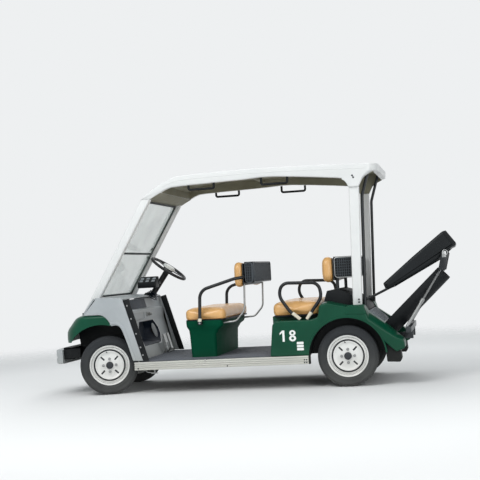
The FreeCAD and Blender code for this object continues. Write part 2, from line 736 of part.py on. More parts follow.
front_pan = SEAT_PAN_TOP - 8.0
front_cushion = pad(f(FRONT_SEAT_X - FRONT_SEAT_DEPTH), f(FRONT_SEAT_X), cushion_half,
                    front_pan, front_pan + CUSHION_HEIGHT, 30.0)
REAR_SEAT_X = 617.0
REAR_SEAT_DEPTH = 400.0
rear_pan = SEAT_PAN_TOP - 6.0
rear_cushion = pad(r(REAR_SEAT_X - REAR_SEAT_DEPTH), r(REAR_SEAT_X), cushion_half, rear_pan,
                   rear_pan + CUSHION_HEIGHT + 14.0, 34.0)
export("seat_cushions", [front_cushion, rear_cushion])

# Front seat base: a green moulding with a wide band at its top.
BASE_FRONT = -745.0
BASE_BACK = -972.0
BASE_INSET = 30.0
BASE_HALF = cushion_half - BASE_INSET
BAND_DEPTH = 64.0
band_low = front_pan - BAND_DEPTH
base = box(f(BASE_BACK), f(BASE_FRONT), -BASE_HALF, BASE_HALF, MAT_TOP, band_low)
base = base.cut(box(f(BASE_BACK) + PANEL, f(BASE_FRONT) - PANEL, -BASE_HALF + PANEL, BASE_HALF - PANEL,
                    MAT_TOP - 1.0, band_low + 1.0))
RECESS_HEIGHT = 84.0
for side in (1.0, -1.0):
    y_in = side * (BASE_HALF - 40.0)
    y_out = side * (BASE_HALF + 1.0)
    y0 = min(y_in, y_out)
    y1 = max(y_in, y_out)
    notch = box(f(BASE_BACK) - 1.0, f(BASE_FRONT) + 1.0, y0, y1, band_low - RECESS_HEIGHT, band_low)
    wall = box(f(BASE_BACK), f(BASE_FRONT), min(y_in, y_in + side * PANEL), max(y_in, y_in + side * PANEL),
               band_low - RECESS_HEIGHT - PANEL, band_low)
    shelf = box(f(BASE_BACK), f(BASE_FRONT), y0, min(y1, BASE_HALF) if side > 0 else y1,
                band_low - RECESS_HEIGHT - PANEL, band_low - RECESS_HEIGHT)
    shelf = shelf.common(box(f(BASE_BACK), f(BASE_FRONT), -BASE_HALF, BASE_HALF, 0.0, 2000.0))
    base = base.cut(notch).fuse(wall).fuse(shelf)
band = box(f(-1042.0), f(-724.0), -cushion_half + 4.0, cushion_half - 4.0, band_low, front_pan)
band = band.cut(box(f(-1042.0) + PANEL, f(-724.0) - PANEL, -cushion_half + 4.0 + PANEL, cushion_half - 4.0 - PANEL,
                    band_low - 1.0, front_pan - PANEL))
band_floor = box(f(-1042.0), f(-724.0), -cushion_half + 4.0, cushion_half - 4.0, band_low, band_low + PANEL)
band_floor = band_floor.cut(box(f(BASE_BACK) + PANEL, f(BASE_FRONT) - PANEL, -BASE_HALF + 60.0, BASE_HALF - 60.0,
                                0.0, 2000.0))
export("front_seat_base", fuse([base, band, band_floor]))

FRONT_BACK_X = -1150.0
REAR_BACK_X = 190.0
FRONT_BACK_THICKNESS = 78.0
FRONT_TRAY_DEPTH = 72.0


def backrest(x, thickness):
    return pad(x - thickness, x, back_half, BACK_BOTTOM, BACK_TOP, 32.0)


export("backrests", [backrest(f(FRONT_BACK_X), FRONT_BACK_THICKNESS), backrest(r(REAR_BACK_X), BACK_THICKNESS)])

# Seat frames: a plate behind each pad, with posts down to the seat.
PLATE = 6.0
STRUT = 16.0
STRUT_INSET = 25.0
STRUT_Y = back_half - STRUT_INSET
REAR_STRUT_INSET = 120.0
front_plate_x = f(FRONT_BACK_X) - FRONT_BACK_THICKNESS
front_plate = box(front_plate_x - PLATE, front_plate_x, -back_half + 10.0, back_half - 10.0, BACK_BOTTOM + 20.0,
                  BACK_TOP - 20.0)
strut_x = front_plate_x - STRUT / 2.0
front_struts = []
band_back = f(-1042.0)
for side in (1.0, -1.0):
    path = [(strut_x, side * STRUT_Y, BACK_BOTTOM + 30.0), (strut_x + 8.0, side * STRUT_Y, 690.0),
            (band_back - 20.0, side * STRUT_Y, front_pan - 26.0), (band_back + 3.0, side * STRUT_Y, front_pan - 28.0)]
    front_struts.append(tube(path, STRUT, 12.0))
seat_base_block = box(band_back, f(-724.0), -cushion_half, cushion_half, band_low, front_pan)
front_frame = fuse([front_plate] + front_struts).cut(seat_base_block)
rear_plate_x = r(REAR_BACK_X) - BACK_THICKNESS
rear_plate = box(rear_plate_x - PLATE, rear_plate_x, -back_half + 10.0, back_half - 10.0, BACK_BOTTOM + 20.0,
                 BACK_TOP - 20.0)
rear_posts_low = []
SHROUD_TOP = 797.0
for side in (1.0, -1.0):
    rear_posts_low.append(rod((rear_plate_x - TUBE / 2.0, side * (back_half - REAR_STRUT_INSET), SHROUD_TOP - 60.0),
                              (rear_plate_x - TUBE / 2.0, side * (back_half - REAR_STRUT_INSET), BACK_BOTTOM + 36.0), TUBE))
rear_frame = fuse([rear_plate] + rear_posts_low)
export("seat_frames", [front_frame, rear_frame])


def basket(x1, depth):
    """Open basket of thin walls behind a backrest."""
    x0 = x1 - depth
    z0 = BACK_BOTTOM + 38.0
    z1 = BACK_TOP - 8.0
    shell = box(x0, x1, -back_half + 30.0, back_half - 30.0, z0, z1)
    return shell.cut(box(x0 + 5.0, x1 - 5.0, -back_half + 35.0, back_half - 35.0, z0 + 5.0, z1 + 1.0))


front_basket = basket(front_plate_x - PLATE - STRUT / 2.0 - 2.0, FRONT_TRAY_DEPTH).cut(front_frame)
rear_basket = basket(rear_plate_x - PLATE, BASKET_DEPTH).cut(rear_frame)
front_tie = box(front_plate_x - PLATE - STRUT / 2.0 - 2.0, front_plate_x - PLATE, -60.0, 60.0, BACK_BOTTOM + 90.0,
                BACK_BOTTOM + 130.0)
export("seat_baskets", [fuse([front_basket, front_tie]), rear_basket])

# Armrest loops.
FRONT_ARM_INSET = 18.0
ARM_IN = arm_y - FRONT_ARM_INSET
arm_end_x = front_plate_x - PLATE / 2.0
arm = tube([(f(-858.0), ARM_IN, front_pan - 40.0), (f(-872.0), ARM_IN, 846.0), (arm_end_x + 60.0, ARM_IN, 930.0),
            (arm_end_x - 30.0, ARM_IN - 46.0, 940.0), (arm_end_x - 20.0, back_half - 26.0, 940.0)], TUBE, 30.0)
arm_foot = box(f(-880.0), f(-838.0), cushion_half - 4.0, ARM_IN + TUBE / 2.0, band_low + 6.0, front_pan - 12.0)
front_arm = fuse([arm, arm_foot]).cut(front_frame).cut(fuse([front_basket, front_tie]))
front_arm = front_arm.cut(backrest(f(FRONT_BACK_X), FRONT_BACK_THICKNESS))
front_arm = max(front_arm.Solids, key=lambda solid: solid.Volume)
loop = tube([(r(372.0), arm_y, SEAT_PAN_TOP - 60.0), (r(468.0), arm_y, 650.0), (r(545.0), arm_y, 770.0),
             (r(512.0), arm_y, 872.0), (r(210.0), arm_y, 862.0), (r(186.0), arm_y, 740.0),
             (r(262.0), arm_y, 645.0), (r(322.0), arm_y, SEAT_PAN_TOP - 60.0)], TUBE, 34.0)
loop = loop.cut(fender_solid)
loop = max(loop.Solids, key=lambda solid: solid.Volume)
export("armrests", both(front_arm) + both(loop))

# Shroud behind the rear seat, between the fenders.
SHROUD_HALF = fender_in
SHROUD_LOW = 560.0
shroud_line = [(188.0, SHROUD_LOW), (188.0, 704.0), (160.0, 786.0), (85.0, SHROUD_TOP), (20.0, 778.0), (-47.0, 742.0),
               (-150.0, 650.0), (-168.0, 612.0)]


def shroud_ring(gap):
    upper = [(x - gap * 0.4 if x > 100.0 else x, z - gap) for x, z in shroud_line[1:]]
    first = (188.0 - gap, SHROUD_LOW - (1.0 if gap else 0.0))
    last = [(-168.0 + gap, 612.0 - gap), (-150.0, SHROUD_LOW - (1.0 if gap else 0.0))]
    return shifted([first] + upper[:-1] + last, XR)


shroud = prism(shroud_ring(0.0), -SHROUD_HALF, SHROUD_HALF)
shroud = shroud.cut(prism(shroud_ring(PANEL), -SHROUD_HALF + PANEL, SHROUD_HALF - PANEL))
shroud = shroud.cut(rear_frame)
shroud = max(shroud.Solids, key=lambda solid: solid.Volume)
export("rear_shroud", shroud)

# Bag bay: a sloping ribbed deck, and the moulded troughs that stand on it.
deck_high = V(r(-172.0), 0, 604.0)
deck_low = V(r(-385.0), 0, 405.0)
deck_run = deck_low - deck_high
deck_length = deck_run.Length
deck_run.normalize()
deck_up = V(deck_run.z, 0, -deck_run.x)
DECK = 12.0
RIB = 6.0
deck_half = fender_in


def on_deck(s, n):
    p = deck_high + deck_run * s + deck_up * n
    return (p.x, p.z)


deck = prism([on_deck(0.0, -DECK), on_deck(deck_length, -DECK), on_deck(deck_length, 0.0), on_deck(0.0, 0.0)],
             -deck_half, deck_half)
RIB_SPACING = 50.0
RIB_WIDE = 20.0
rib_end = 150.0
deck_ribs = []
rib_count = int(2.0 * deck_half / RIB_SPACING)
for k in range(rib_count):
    y0 = (k - (rib_count - 1) / 2.0) * RIB_SPACING - RIB_WIDE / 2.0
    deck_ribs.append(prism([on_deck(10.0, -1.0), on_deck(rib_end, -1.0), on_deck(rib_end, RIB), on_deck(10.0, RIB)],
                           y0, y0 + RIB_WIDE))
deck = fuse([deck] + deck_ribs)
export("bag_deck", deck)

TROUGH_LENGTH = 640.0
TROUGH_LEAN = 43.3
SKIRT = 30.0
lean = V(-math.cos(math.radians(TROUGH_LEAN)), 0, math.sin(math.radians(TROUGH_LEAN)))
lean_back = V(lean.x * math.tan(math.radians(TROUGH_LEAN)), 0, -lean.z / math.tan(math.radians(TROUGH_LEAN)))
trough_foot = deck_high + deck_run * 166.0
trough_y = [(k - (TROUGH_COUNT - 1) / 2.0) * trough_radius * 2.0 for k in range(TROUGH_COUNT)]
span = trough_radius * TROUGH_COUNT


def on_trough(s, n):
    """Station s up the troughs, n behind their front edges."""
    p = trough_foot + lean * s + lean_back * n
    return (p.x, p.z)


def trough_slab(s0, s1, n0, n1, y0, y1):
    return prism([on_trough(s0, n0), on_trough(s1, n0), on_trough(s1, n1), on_trough(s0, n1)], y0, y1)


bodies = []
hollows = []
channel = trough_radius - TROUGH_WALL
for y in trough_y:
    start = trough_foot + V(0, y, 0) + lean_back * SKIRT - lean * 10.0
    bodies.append(Part.makeCylinder(trough_radius, TROUGH_LENGTH + 10.0, start, lean))
    hollow = Part.makeCylinder(channel, TROUGH_LENGTH + 20.0, start - lean * 5.0, lean)
    hollows.append(hollow.fuse(trough_slab(-15.0, TROUGH_LENGTH + 5.0, -5.0, SKIRT, y - channel, y + channel)))
trough_block = fuse(bodies + [trough_slab(-10.0, TROUGH_LENGTH, 0.0, SKIRT, -span, span)])
trough_block = trough_block.cut(trough_slab(-20.0, TROUGH_LENGTH + 10.0, -2.0 * trough_radius, 0.0, -HALF, HALF))
troughs = trough_block
for hollow in hollows:
    troughs = troughs.cut(hollow)
troughs = troughs.cut(deck)
troughs = max(troughs.Solids, key=lambda solid: solid.Volume)
export("bag_troughs", troughs)

# Rack: a square bar behind the fender tails, held by two brackets on the rail ends.
TAIL_BAR = 44.0
TAIL_BAR_X = -500.0
TAIL_BAR_Z = 440.0
BRACKET = 40.0
bar_half = TAIL_BAR / 2.0
tail_bar = box(r(TAIL_BAR_X) - bar_half, r(TAIL_BAR_X) + bar_half, -rack_y - 16.0, rack_y + 16.0,
               TAIL_BAR_Z - bar_half, TAIL_BAR_Z + bar_half)
bracket_low = rear_low + 10.0
bracket_line = [(r(RAIL_TAIL) + 1.0, bracket_low), (r(RAIL_TAIL) + 1.0, bracket_low + 28.0),
                (r(-440.0), bracket_low + 28.0), (r(TAIL_BAR_X) + bar_half, TAIL_BAR_Z - bar_half + 1.0),
                (r(TAIL_BAR_X) - bar_half, TAIL_BAR_Z - bar_half + 1.0), (r(TAIL_BAR_X) - bar_half, bracket_low)]
bracket = prism(bracket_line, rail_y - BRACKET / 2.0, rail_y + BRACKET / 2.0)
rack = fuse([tail_bar, bracket, mirror(bracket)]).cut(frame_solid)
export("bag_rack", rack)

# Telescopic stays up to the light blocks at the head of the troughs.
STAY_OUTER = 22.0
STAY_INNER = 16.0
COLLAR = 32.0
STAY_SPLIT = 0.45
stay_foot = V(r(-484.0), rack_y, TAIL_BAR_Z + bar_half - 2.0)
stay_head = V(r(-785.0), rack_y, 918.0)
stay_run = stay_head - stay_foot
low_tube = rod(tuple(stay_foot), tuple(stay_foot + stay_run * STAY_SPLIT), STAY_OUTER)
high_tube = rod(tuple(stay_foot + stay_run * STAY_SPLIT), tuple(stay_head), STAY_INNER)
collar = rod(tuple(stay_foot + stay_run * (STAY_SPLIT - 0.03)), tuple(stay_foot + stay_run * (STAY_SPLIT + 0.03)), COLLAR)
cross_pins = []
for share in (0.62, 0.9):
    at = stay_foot + stay_run * share
    cross_pins.append(rod((at.x, span - 60.0, at.z), (at.x, rack_y, at.z), 20.0))
block_line = [(r(-765.0), 914.0), (r(-803.0), 1064.0), (r(-855.0), 1050.0), (r(-817.0), 900.0)]
BLOCK_WIDTH = 52.0
head_block = prism(block_line, rack_y - BLOCK_WIDTH / 2.0, rack_y + BLOCK_WIDTH / 2.0)
rack_stay = fuse([low_tube, high_tube, collar] + cross_pins).cut(trough_block).cut(tail_bar).cut(head_block)
rack_stay = max(rack_stay.Solids, key=lambda solid: solid.Volume)
export("rack_stays", both(rack_stay))
export("rack_head_blocks", both(head_block))

# Bag hood on its two arms.
HOOD_PIVOT = (-130.0, 684.0)
hood_outline = [
    (r(-311.0), 824.0),
    (r(-560.0), 1028.0),
    (r(-820.0), 1226.0),
    (r(-842.0), 1230.0),
    (r(-REAR_OVERHANG), 1122.0),
    (r(-REAR_OVERHANG + 6.0), 1106.0),
    (r(-884.0), 1092.0),
    (r(-769.0), 992.0),
    (r(-351.0), 771.0),
    (r(-326.0), 784.0),
]
hood_room = [
    (r(-324.0), 816.0),
    (r(-562.0), 1018.0),
    (r(-820.0), 1215.0),
    (r(-838.0), 1217.0),
    (r(-REAR_OVERHANG + 10.0), 1112.0),
    (r(-REAR_OVERHANG + 20.0), 1060.0),
    (r(-769.0), 900.0),
    (r(-351.0), 700.0),
    (r(-330.0), 790.0),
]
hood = prism(hood_outline, -hood_half, hood_half)
hood = hood.cut(prism(hood_room, -hood_half + PANEL, hood_half - PANEL))
export("bag_hood", hood)
ARM_TUBE = 16.0
ARM_AT = hood_half - PANEL - ARM_TUBE / 2.0 - 0.3
arm_tail = (-470.0, 862.0)
PIN_DIAMETER = 8.0
ARM_EYE = 26.0
arm_in = ARM_AT - ARM_TUBE / 2.0
arm_out = ARM_AT + ARM_TUBE / 2.0
hood_arm = tube([(r(HOOD_PIVOT[0]), ARM_AT, HOOD_PIVOT[1]), (r(-345.0), ARM_AT, 776.0 + 6.0),
                 (r(arm_tail[0]), ARM_AT, arm_tail[1])], ARM_TUBE, 40.0)
arm_eye = rod((r(HOOD_PIVOT[0]), arm_in, HOOD_PIVOT[1]), (r(HOOD_PIVOT[0]), arm_out, HOOD_PIVOT[1]), ARM_EYE)
eye_bore = rod((r(HOOD_PIVOT[0]), arm_in - 1.0, HOOD_PIVOT[1]), (r(HOOD_PIVOT[0]), arm_out + 1.0, HOOD_PIVOT[1]),
               PIN_DIAMETER + 2.0 * BEARING_GAP)
arm_lug = rod((r(-440.0), ARM_AT, 843.0), (r(-440.0), hood_half - PANEL, 843.0), 14.0)
hood_arm = fuse([hood_arm, arm_eye, arm_lug]).cut(eye_bore).cut(hood)
hood_arm = max(hood_arm.Solids, key=lambda solid: solid.Volume)
export("hood_arms", both(hood_arm))
EAR = 14.0
ear_y = arm_out + 1.0
ear_line = [(r(HOOD_PIVOT[0] - 22.0), PILLAR_FOOT_Z), (r(HOOD_PIVOT[0] + 26.0), PILLAR_FOOT_Z),
            (r(HOOD_PIVOT[0] + 16.0), HOOD_PIVOT[1] + 20.0), (r(HOOD_PIVOT[0] - 16.0), HOOD_PIVOT[1] + 20.0)]
ear = prism(ear_line, ear_y, ear_y + EAR)
pin = rod((r(HOOD_PIVOT[0]), arm_in - 4.0, HOOD_PIVOT[1]), (r(HOOD_PIVOT[0]), ear_y + 1.0, HOOD_PIVOT[1]),
          PIN_DIAMETER)
ear = fuse([ear, pin]).cut(fender_solid)
export("hood_pivots", both(ear))

# Dark panel that closes the underbody behind the rear wheels.
VALANCE_LOW = 190.0
valance_x = r(RAIL_TAIL) - 5.0
export("rear_valance", box(valance_x, r(RAIL_TAIL), -fender_in, fender_in, VALANCE_LOW, rear_low + 6.0))

# Axles, springs and the power unit.
AXLE_TUBE = 44.0
AXLE_BOSS = 60.0
YOKE_BACK = 40.0
YOKE_WEB = 8.0
axle_end = KINGPIN_Y - YOKE_BACK + 6.0
front_axle = rod((f(0.0), -axle_end, WHEEL_Z), (f(0.0), axle_end, WHEEL_Z), AXLE_TUBE)
yokes = []
for side in (1.0, -1.0):
    yoke = box(f(-22.0), f(22.0), -34.0 if side < 0 else -YOKE_BACK, YOKE_BACK if side < 0 else 34.0,
               WHEEL_Z - AXLE_BOSS, WHEEL_Z + AXLE_BOSS)
    yoke.translate(V(0, side * KINGPIN_Y, 0))
    slot = box(f(-40.0), f(40.0), -YOKE_BACK + YOKE_WEB if side > 0 else -40.0,
               40.0 if side > 0 else YOKE_BACK - YOKE_WEB,
               WHEEL_Z - AXLE_BOSS + 16.0, WHEEL_Z + AXLE_BOSS - 16.0)
    slot.translate(V(0, side * KINGPIN_Y, 0))
    yoke = yoke.cut(slot)
    bore = Part.makeCylinder(KINGPIN_DIAMETER / 2.0 + BEARING_GAP, 2.0 * AXLE_BOSS + 2.0,
                             V(f(0.0), side * KINGPIN_Y, WHEEL_Z - AXLE_BOSS - 1.0))
    yokes.append(yoke.cut(bore))
export("front_axle", fuse([front_axle] + yokes))
REAR_AXLE_TUBE = 64.0
rear_axle_end = WHEEL_Y - TYRE_WIDTH / 2.0
rear_axle = rod((XR, -rear_axle_end, WHEEL_Z), (XR, rear_axle_end, WHEEL_Z), REAR_AXLE_TUBE)
spindle_end = WHEEL_Y + 22.0
stub = rod((XR, -spindle_end, WHEEL_Z), (XR, spindle_end, WHEEL_Z), SPINDLE_DIAMETER)
diff = Part.makeSphere(88.0, V(XR, 60.0, WHEEL_Z))
export("rear_axle", fuse([rear_axle, stub, diff]))

springs = []
SPRING_HEIGHT = 8.0
for origin, length, axle_top, rail_z in ((XF, 420.0, WHEEL_Z + AXLE_TUBE / 2.0, front_low),
                                         (XR, 500.0, WHEEL_Z + REAR_AXLE_TUBE / 2.0, rear_low)):
    a = length / 2.0
    leaf = Part.Arc(V(origin - a, 0, rail_z - 12.0), V(origin, 0, axle_top + 6.0), V(origin + a, 0, rail_z - 12.0))
    top = Part.Arc(V(origin - a, 0, rail_z - 12.0 + SPRING_HEIGHT), V(origin, 0, axle_top + 6.0 + SPRING_HEIGHT),
                   V(origin + a, 0, rail_z - 12.0 + SPRING_HEIGHT))
    wire = Part.Wire([leaf.toShape(),
                      Part.makeLine(V(origin + a, 0, rail_z - 12.0), V(origin + a, 0, rail_z - 12.0 + SPRING_HEIGHT)),
                      top.toShape(),
                      Part.makeLine(V(origin - a, 0, rail_z - 12.0 + SPRING_HEIGHT), V(origin - a, 0, rail_z - 12.0))])
    blade = Part.Face(wire).extrude(V(0, 44.0, 0))
    blade.translate(V(0, rail_y - 22.0, 0))
    pad_block = box(origin - 30.0, origin + 30.0, rail_y - 30.0, rail_y + 30.0, axle_top - 8.0, axle_top + 6.5)
    hangers = [box(origin - a, origin - a + 24.0, rail_y - 22.0, rail_y + 22.0, rail_z - 8.0, rail_z),
               box(origin + a - 24.0, origin + a, rail_y - 22.0, rail_y + 22.0, rail_z - 8.0, rail_z)]
    axle_shape = rod((origin, -400.0, WHEEL_Z), (origin, 400.0, WHEEL_Z),
                     AXLE_TUBE if origin == XF else REAR_AXLE_TUBE)
    one = fuse([blade, pad_block] + hangers).cut(axle_shape)
    springs += both(one)
export("leaf_springs", springs)

POWER_FRONT = 560.0
power_unit = box(r(260.0), r(POWER_FRONT), -rail_inner + 4.0, rail_inner - 4.0, rail_top + 0.5, 540.0)
power_unit = power_unit.cut(fuse([rail, mirror(rail)] + cross)).cut(
    box(r(BOX_FRONT) - 40.0, r(BOX_FRONT) + 40.0, -500.0, 500.0, 0.0, 2000.0))
export("power_unit", power_unit)

# Knuckles: kingpin, spindle and steering arm, turned to the photographed lock.


def knuckle(side):
    pin = Part.makeCylinder(KINGPIN_DIAMETER / 2.0, 2.0 * AXLE_BOSS, V(0, 0, -AXLE_BOSS))
    body = Part.makeCylinder(20.0, 2.0 * (AXLE_BOSS - 16.0 - MOVING_GAP), V(0, 0, -(AXLE_BOSS - 16.0 - MOVING_GAP)))
    spindle = rod((0, 0, 0), (0, side * (KINGPIN_INSET + 22.0), 0), SPINDLE_DIAMETER)
    arm = box(-STEER_ARM, 0.0, -11.0, 11.0, -8.0, 8.0)
    eye = Part.makeCylinder(16.0, 16.0, V(-STEER_ARM, 0, -8.0))
    shape = fuse([pin, body, spindle, arm, eye])
    shape.rotate(V(0, 0, 0), V(0, 0, 1), STEER_REST)
    shape.translate(V(XF, side * KINGPIN_Y, WHEEL_Z))
    return shape


export("knuckle_left", knuckle(1.0))
export("knuckle_right", knuckle(-1.0))

# Tie rod between the steering arms' ends, below them.
rest = math.radians(STEER_REST)
tie_x = XF - STEER_ARM * math.cos(rest)
tie_dy = -STEER_ARM * math.sin(rest)
tie_z = WHEEL_Z - 26.0
tie = rod((tie_x, -KINGPIN_Y + tie_dy, tie_z), (tie_x, KINGPIN_Y + tie_dy, tie_z), 18.0)
for side in (1.0, -1.0):
    tie = tie.fuse(Part.makeCylinder(12.0, -tie_z + WHEEL_Z - 8.0 - PIVOT_GAP, V(tie_x, side * KINGPIN_Y + tie_dy, tie_z)))
export("tie_rod", tie.removeSplitter())


# Wheels: a pressed rim and its tyre, modelled about the wheel's own axis.
def wheel_parts():
    ro = TYRE_DIAMETER / 2.0
    hw = TYRE_WIDTH / 2.0
    rb = RIM_BEAD / 2.0
    rf = RIM_DIAMETER / 2.0
    inner = rb + 0.3
    flange = rf + 0.5
    section = [(inner, -hw + 22.0), (flange, -hw + 14.0), (rf + 10.0, -hw + 4.0), (ro - 42.0, -hw), (ro - 14.0, -hw + 8.0),
               (ro - 3.0, -hw + 26.0), (ro, -hw + 44.0), (ro, hw - 44.0), (ro - 3.0, hw - 26.0), (ro - 14.0, hw - 8.0),
               (ro - 42.0, hw), (rf + 10.0, hw - 4.0), (flange, hw - 14.0), (inner, hw - 22.0)]
    ring = [V(p[0], p[1], 0) for p in section]
    tyre = Part.Face(Part.makePolygon(ring + [ring[0]])).revolve(V(0, 0, 0), V(0, 1, 0), 360.0)
    barrel = [(rb, -hw + 22.0), (rf, -hw + 13.5), (rf, -hw + 9.0), (rb - RIM_WALL, -hw + 18.0),
              (rb - RIM_WALL, hw - 18.0), (rf, hw - 9.0), (rf, hw - 13.5), (rb, hw - 22.0)]
    ring = [V(p[0], p[1], 0) for p in barrel]
    rim = Part.Face(Part.makePolygon(ring + [ring[0]])).revolve(V(0, 0, 0), V(0, 1, 0), 360.0)
    disc_y = RIM_DISC_OFFSET
    disc = Part.makeCylinder(rb - RIM_WALL + 1.0, 8.0, V(0, disc_y, 0), V(0, 1, 0))
    dish = Part.makeCylinder(rb - 34.0, 12.0, V(0, disc_y + 4.0, 0), V(0, 1, 0))
    disc = disc.fuse(dish)
    for k in range(4):
        slot = Part.makeBox(46.0, 40.0, 12.0, V(50.0, disc_y - 10.0, -6.0))
        slot.rotate(V(0, 0, 0), V(0, 1, 0), 45.0 + 90.0 * k)
        disc = disc.cut(slot)
        nut = Part.makeCylinder(10.0, 12.0, V(NUT_CIRCLE / 2.0, disc_y + 15.0, 0), V(0, 1, 0))
        nut.rotate(V(0, 0, 0), V(0, 1, 0), 90.0 * k)
        disc = disc.fuse(nut)
    hub_part = Part.makeCylinder(HUB_DIAMETER / 2.0, disc_y + 30.0, V(0, -4.0, 0), V(0, 1, 0))
    bore = Part.makeCylinder(SPINDLE_DIAMETER / 2.0 + BEARING_GAP, 50.0, V(0, -20.0, 0), V(0, 1, 0))
    rim = fuse([rim, disc, hub_part]).cut(bore)
    return tyre, rim


tyre, rim = wheel_parts()
for name, x, side, turn in (("front_left", XF, 1.0, STEER_REST), ("front_right", XF, -1.0, STEER_REST),
                            ("rear_left", XR, 1.0, 0.0), ("rear_right", XR, -1.0, 0.0)):
    for kind, shape in (("tyre", tyre), ("rim", rim)):
        part = shape.copy()
        if side < 0:
            part = mirror(part)
        if x == XF:
            part.translate(V(0, side * KINGPIN_INSET, 0))
            part.rotate(V(0, 0, 0), V(0, 0, 1), turn)
            part.translate(V(x, side * KINGPIN_Y, WHEEL_Z))
        else:
            part.translate(V(x, side * WHEEL_Y, WHEEL_Z))
        export(kind + "_" + name, part)
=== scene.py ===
import json
import logging
from dataclasses import dataclass
from enum import Enum
from math import atan2, copysign, cos, pi, radians, sin, sqrt, tan, tau
from typing import Callable, Iterable, Sequence

import bmesh
import bpy
from mathutils import Matrix, Vector
from mathutils.bvhtree import BVHTree


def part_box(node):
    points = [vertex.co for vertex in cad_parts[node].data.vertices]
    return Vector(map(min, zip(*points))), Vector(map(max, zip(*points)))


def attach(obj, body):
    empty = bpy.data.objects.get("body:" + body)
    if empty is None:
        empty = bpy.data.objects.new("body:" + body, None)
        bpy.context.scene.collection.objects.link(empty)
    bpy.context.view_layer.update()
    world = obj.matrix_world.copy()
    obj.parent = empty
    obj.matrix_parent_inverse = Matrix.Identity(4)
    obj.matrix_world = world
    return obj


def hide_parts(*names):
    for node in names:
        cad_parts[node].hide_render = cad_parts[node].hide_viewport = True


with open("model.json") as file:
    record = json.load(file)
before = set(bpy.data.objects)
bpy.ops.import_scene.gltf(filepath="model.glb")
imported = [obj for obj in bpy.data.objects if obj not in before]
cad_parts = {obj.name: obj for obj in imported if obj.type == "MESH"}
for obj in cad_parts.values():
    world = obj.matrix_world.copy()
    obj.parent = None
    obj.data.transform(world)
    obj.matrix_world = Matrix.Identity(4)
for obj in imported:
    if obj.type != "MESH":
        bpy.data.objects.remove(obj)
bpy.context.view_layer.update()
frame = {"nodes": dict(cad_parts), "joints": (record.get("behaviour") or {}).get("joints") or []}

log = logging.getLogger("cart")

# Lengths are in millimetres up to the moment a mesh is made, as in the part's own source. The two
# axles are given by their stations, and HALF is half the body's width.
MM = 0.001
FRONT_AXLE = 1255
REAR_AXLE = -835
WHEEL_Z = 250
HALF = 600

Point = tuple[float, float, float]
Outline = Sequence[tuple[float, float]]
Line = list[tuple[float, float]]
Tree = bpy.types.NodeTree
Socket = bpy.types.NodeSocket
Piece = bpy.types.Object


def ahead(x: float) -> float:
    """Station of a point given ahead of the front axle."""
    return FRONT_AXLE + x


def aft(x: float) -> float:
    """Station of a point given ahead of the rear axle."""
    return REAR_AXLE + x


def joint_of(body: str) -> dict:
    """The joint that carries a body."""
    return next(j for j in frame["joints"] if j["child"] == body)


# finishes


def linear(code: str) -> tuple[float, float, float, float]:
    """Turns an sRGB hex value to a linear colour.

    Args:
        code: The colour, as "#rrggbb".

    Returns:
        Red, green, blue and alpha, linear.
    """
    parts = [int(code[i:i + 2], 16) / 255 for i in (1, 3, 5)]
    low = [c / 12.92 if c <= 0.04045 else ((c + 0.055) / 1.055) ** 2.4 for c in parts]
    return (low[0], low[1], low[2], 1)


def add_node(tree: Tree, kind: str, links: dict | None = None, **settings: str | bool) -> bpy.types.Node:
    """Adds one node with its settings, values and links.

    Args:
        tree: The tree that gets the node.
        kind: The node's type.
        links: For each input, by name or index, a value or the socket that feeds it.
        settings: Attributes of the node by name.

    Returns:
        The new node.
    """
    node = tree.nodes.new(kind)
    for key, value in settings.items():
        setattr(node, key, value)
    for key, value in (links or {}).items():
        if isinstance(value, Socket):
            tree.links.new(value, node.inputs[key])
        else:
            node.inputs[key].default_value = value
    return node


class Grain(Enum):
    """How a surface is textured close up."""

    ORANGE_PEEL = "orange peel"
    PEBBLE = "pebble"
    BRUSHED = "brushed"
    HIDE = "hide"


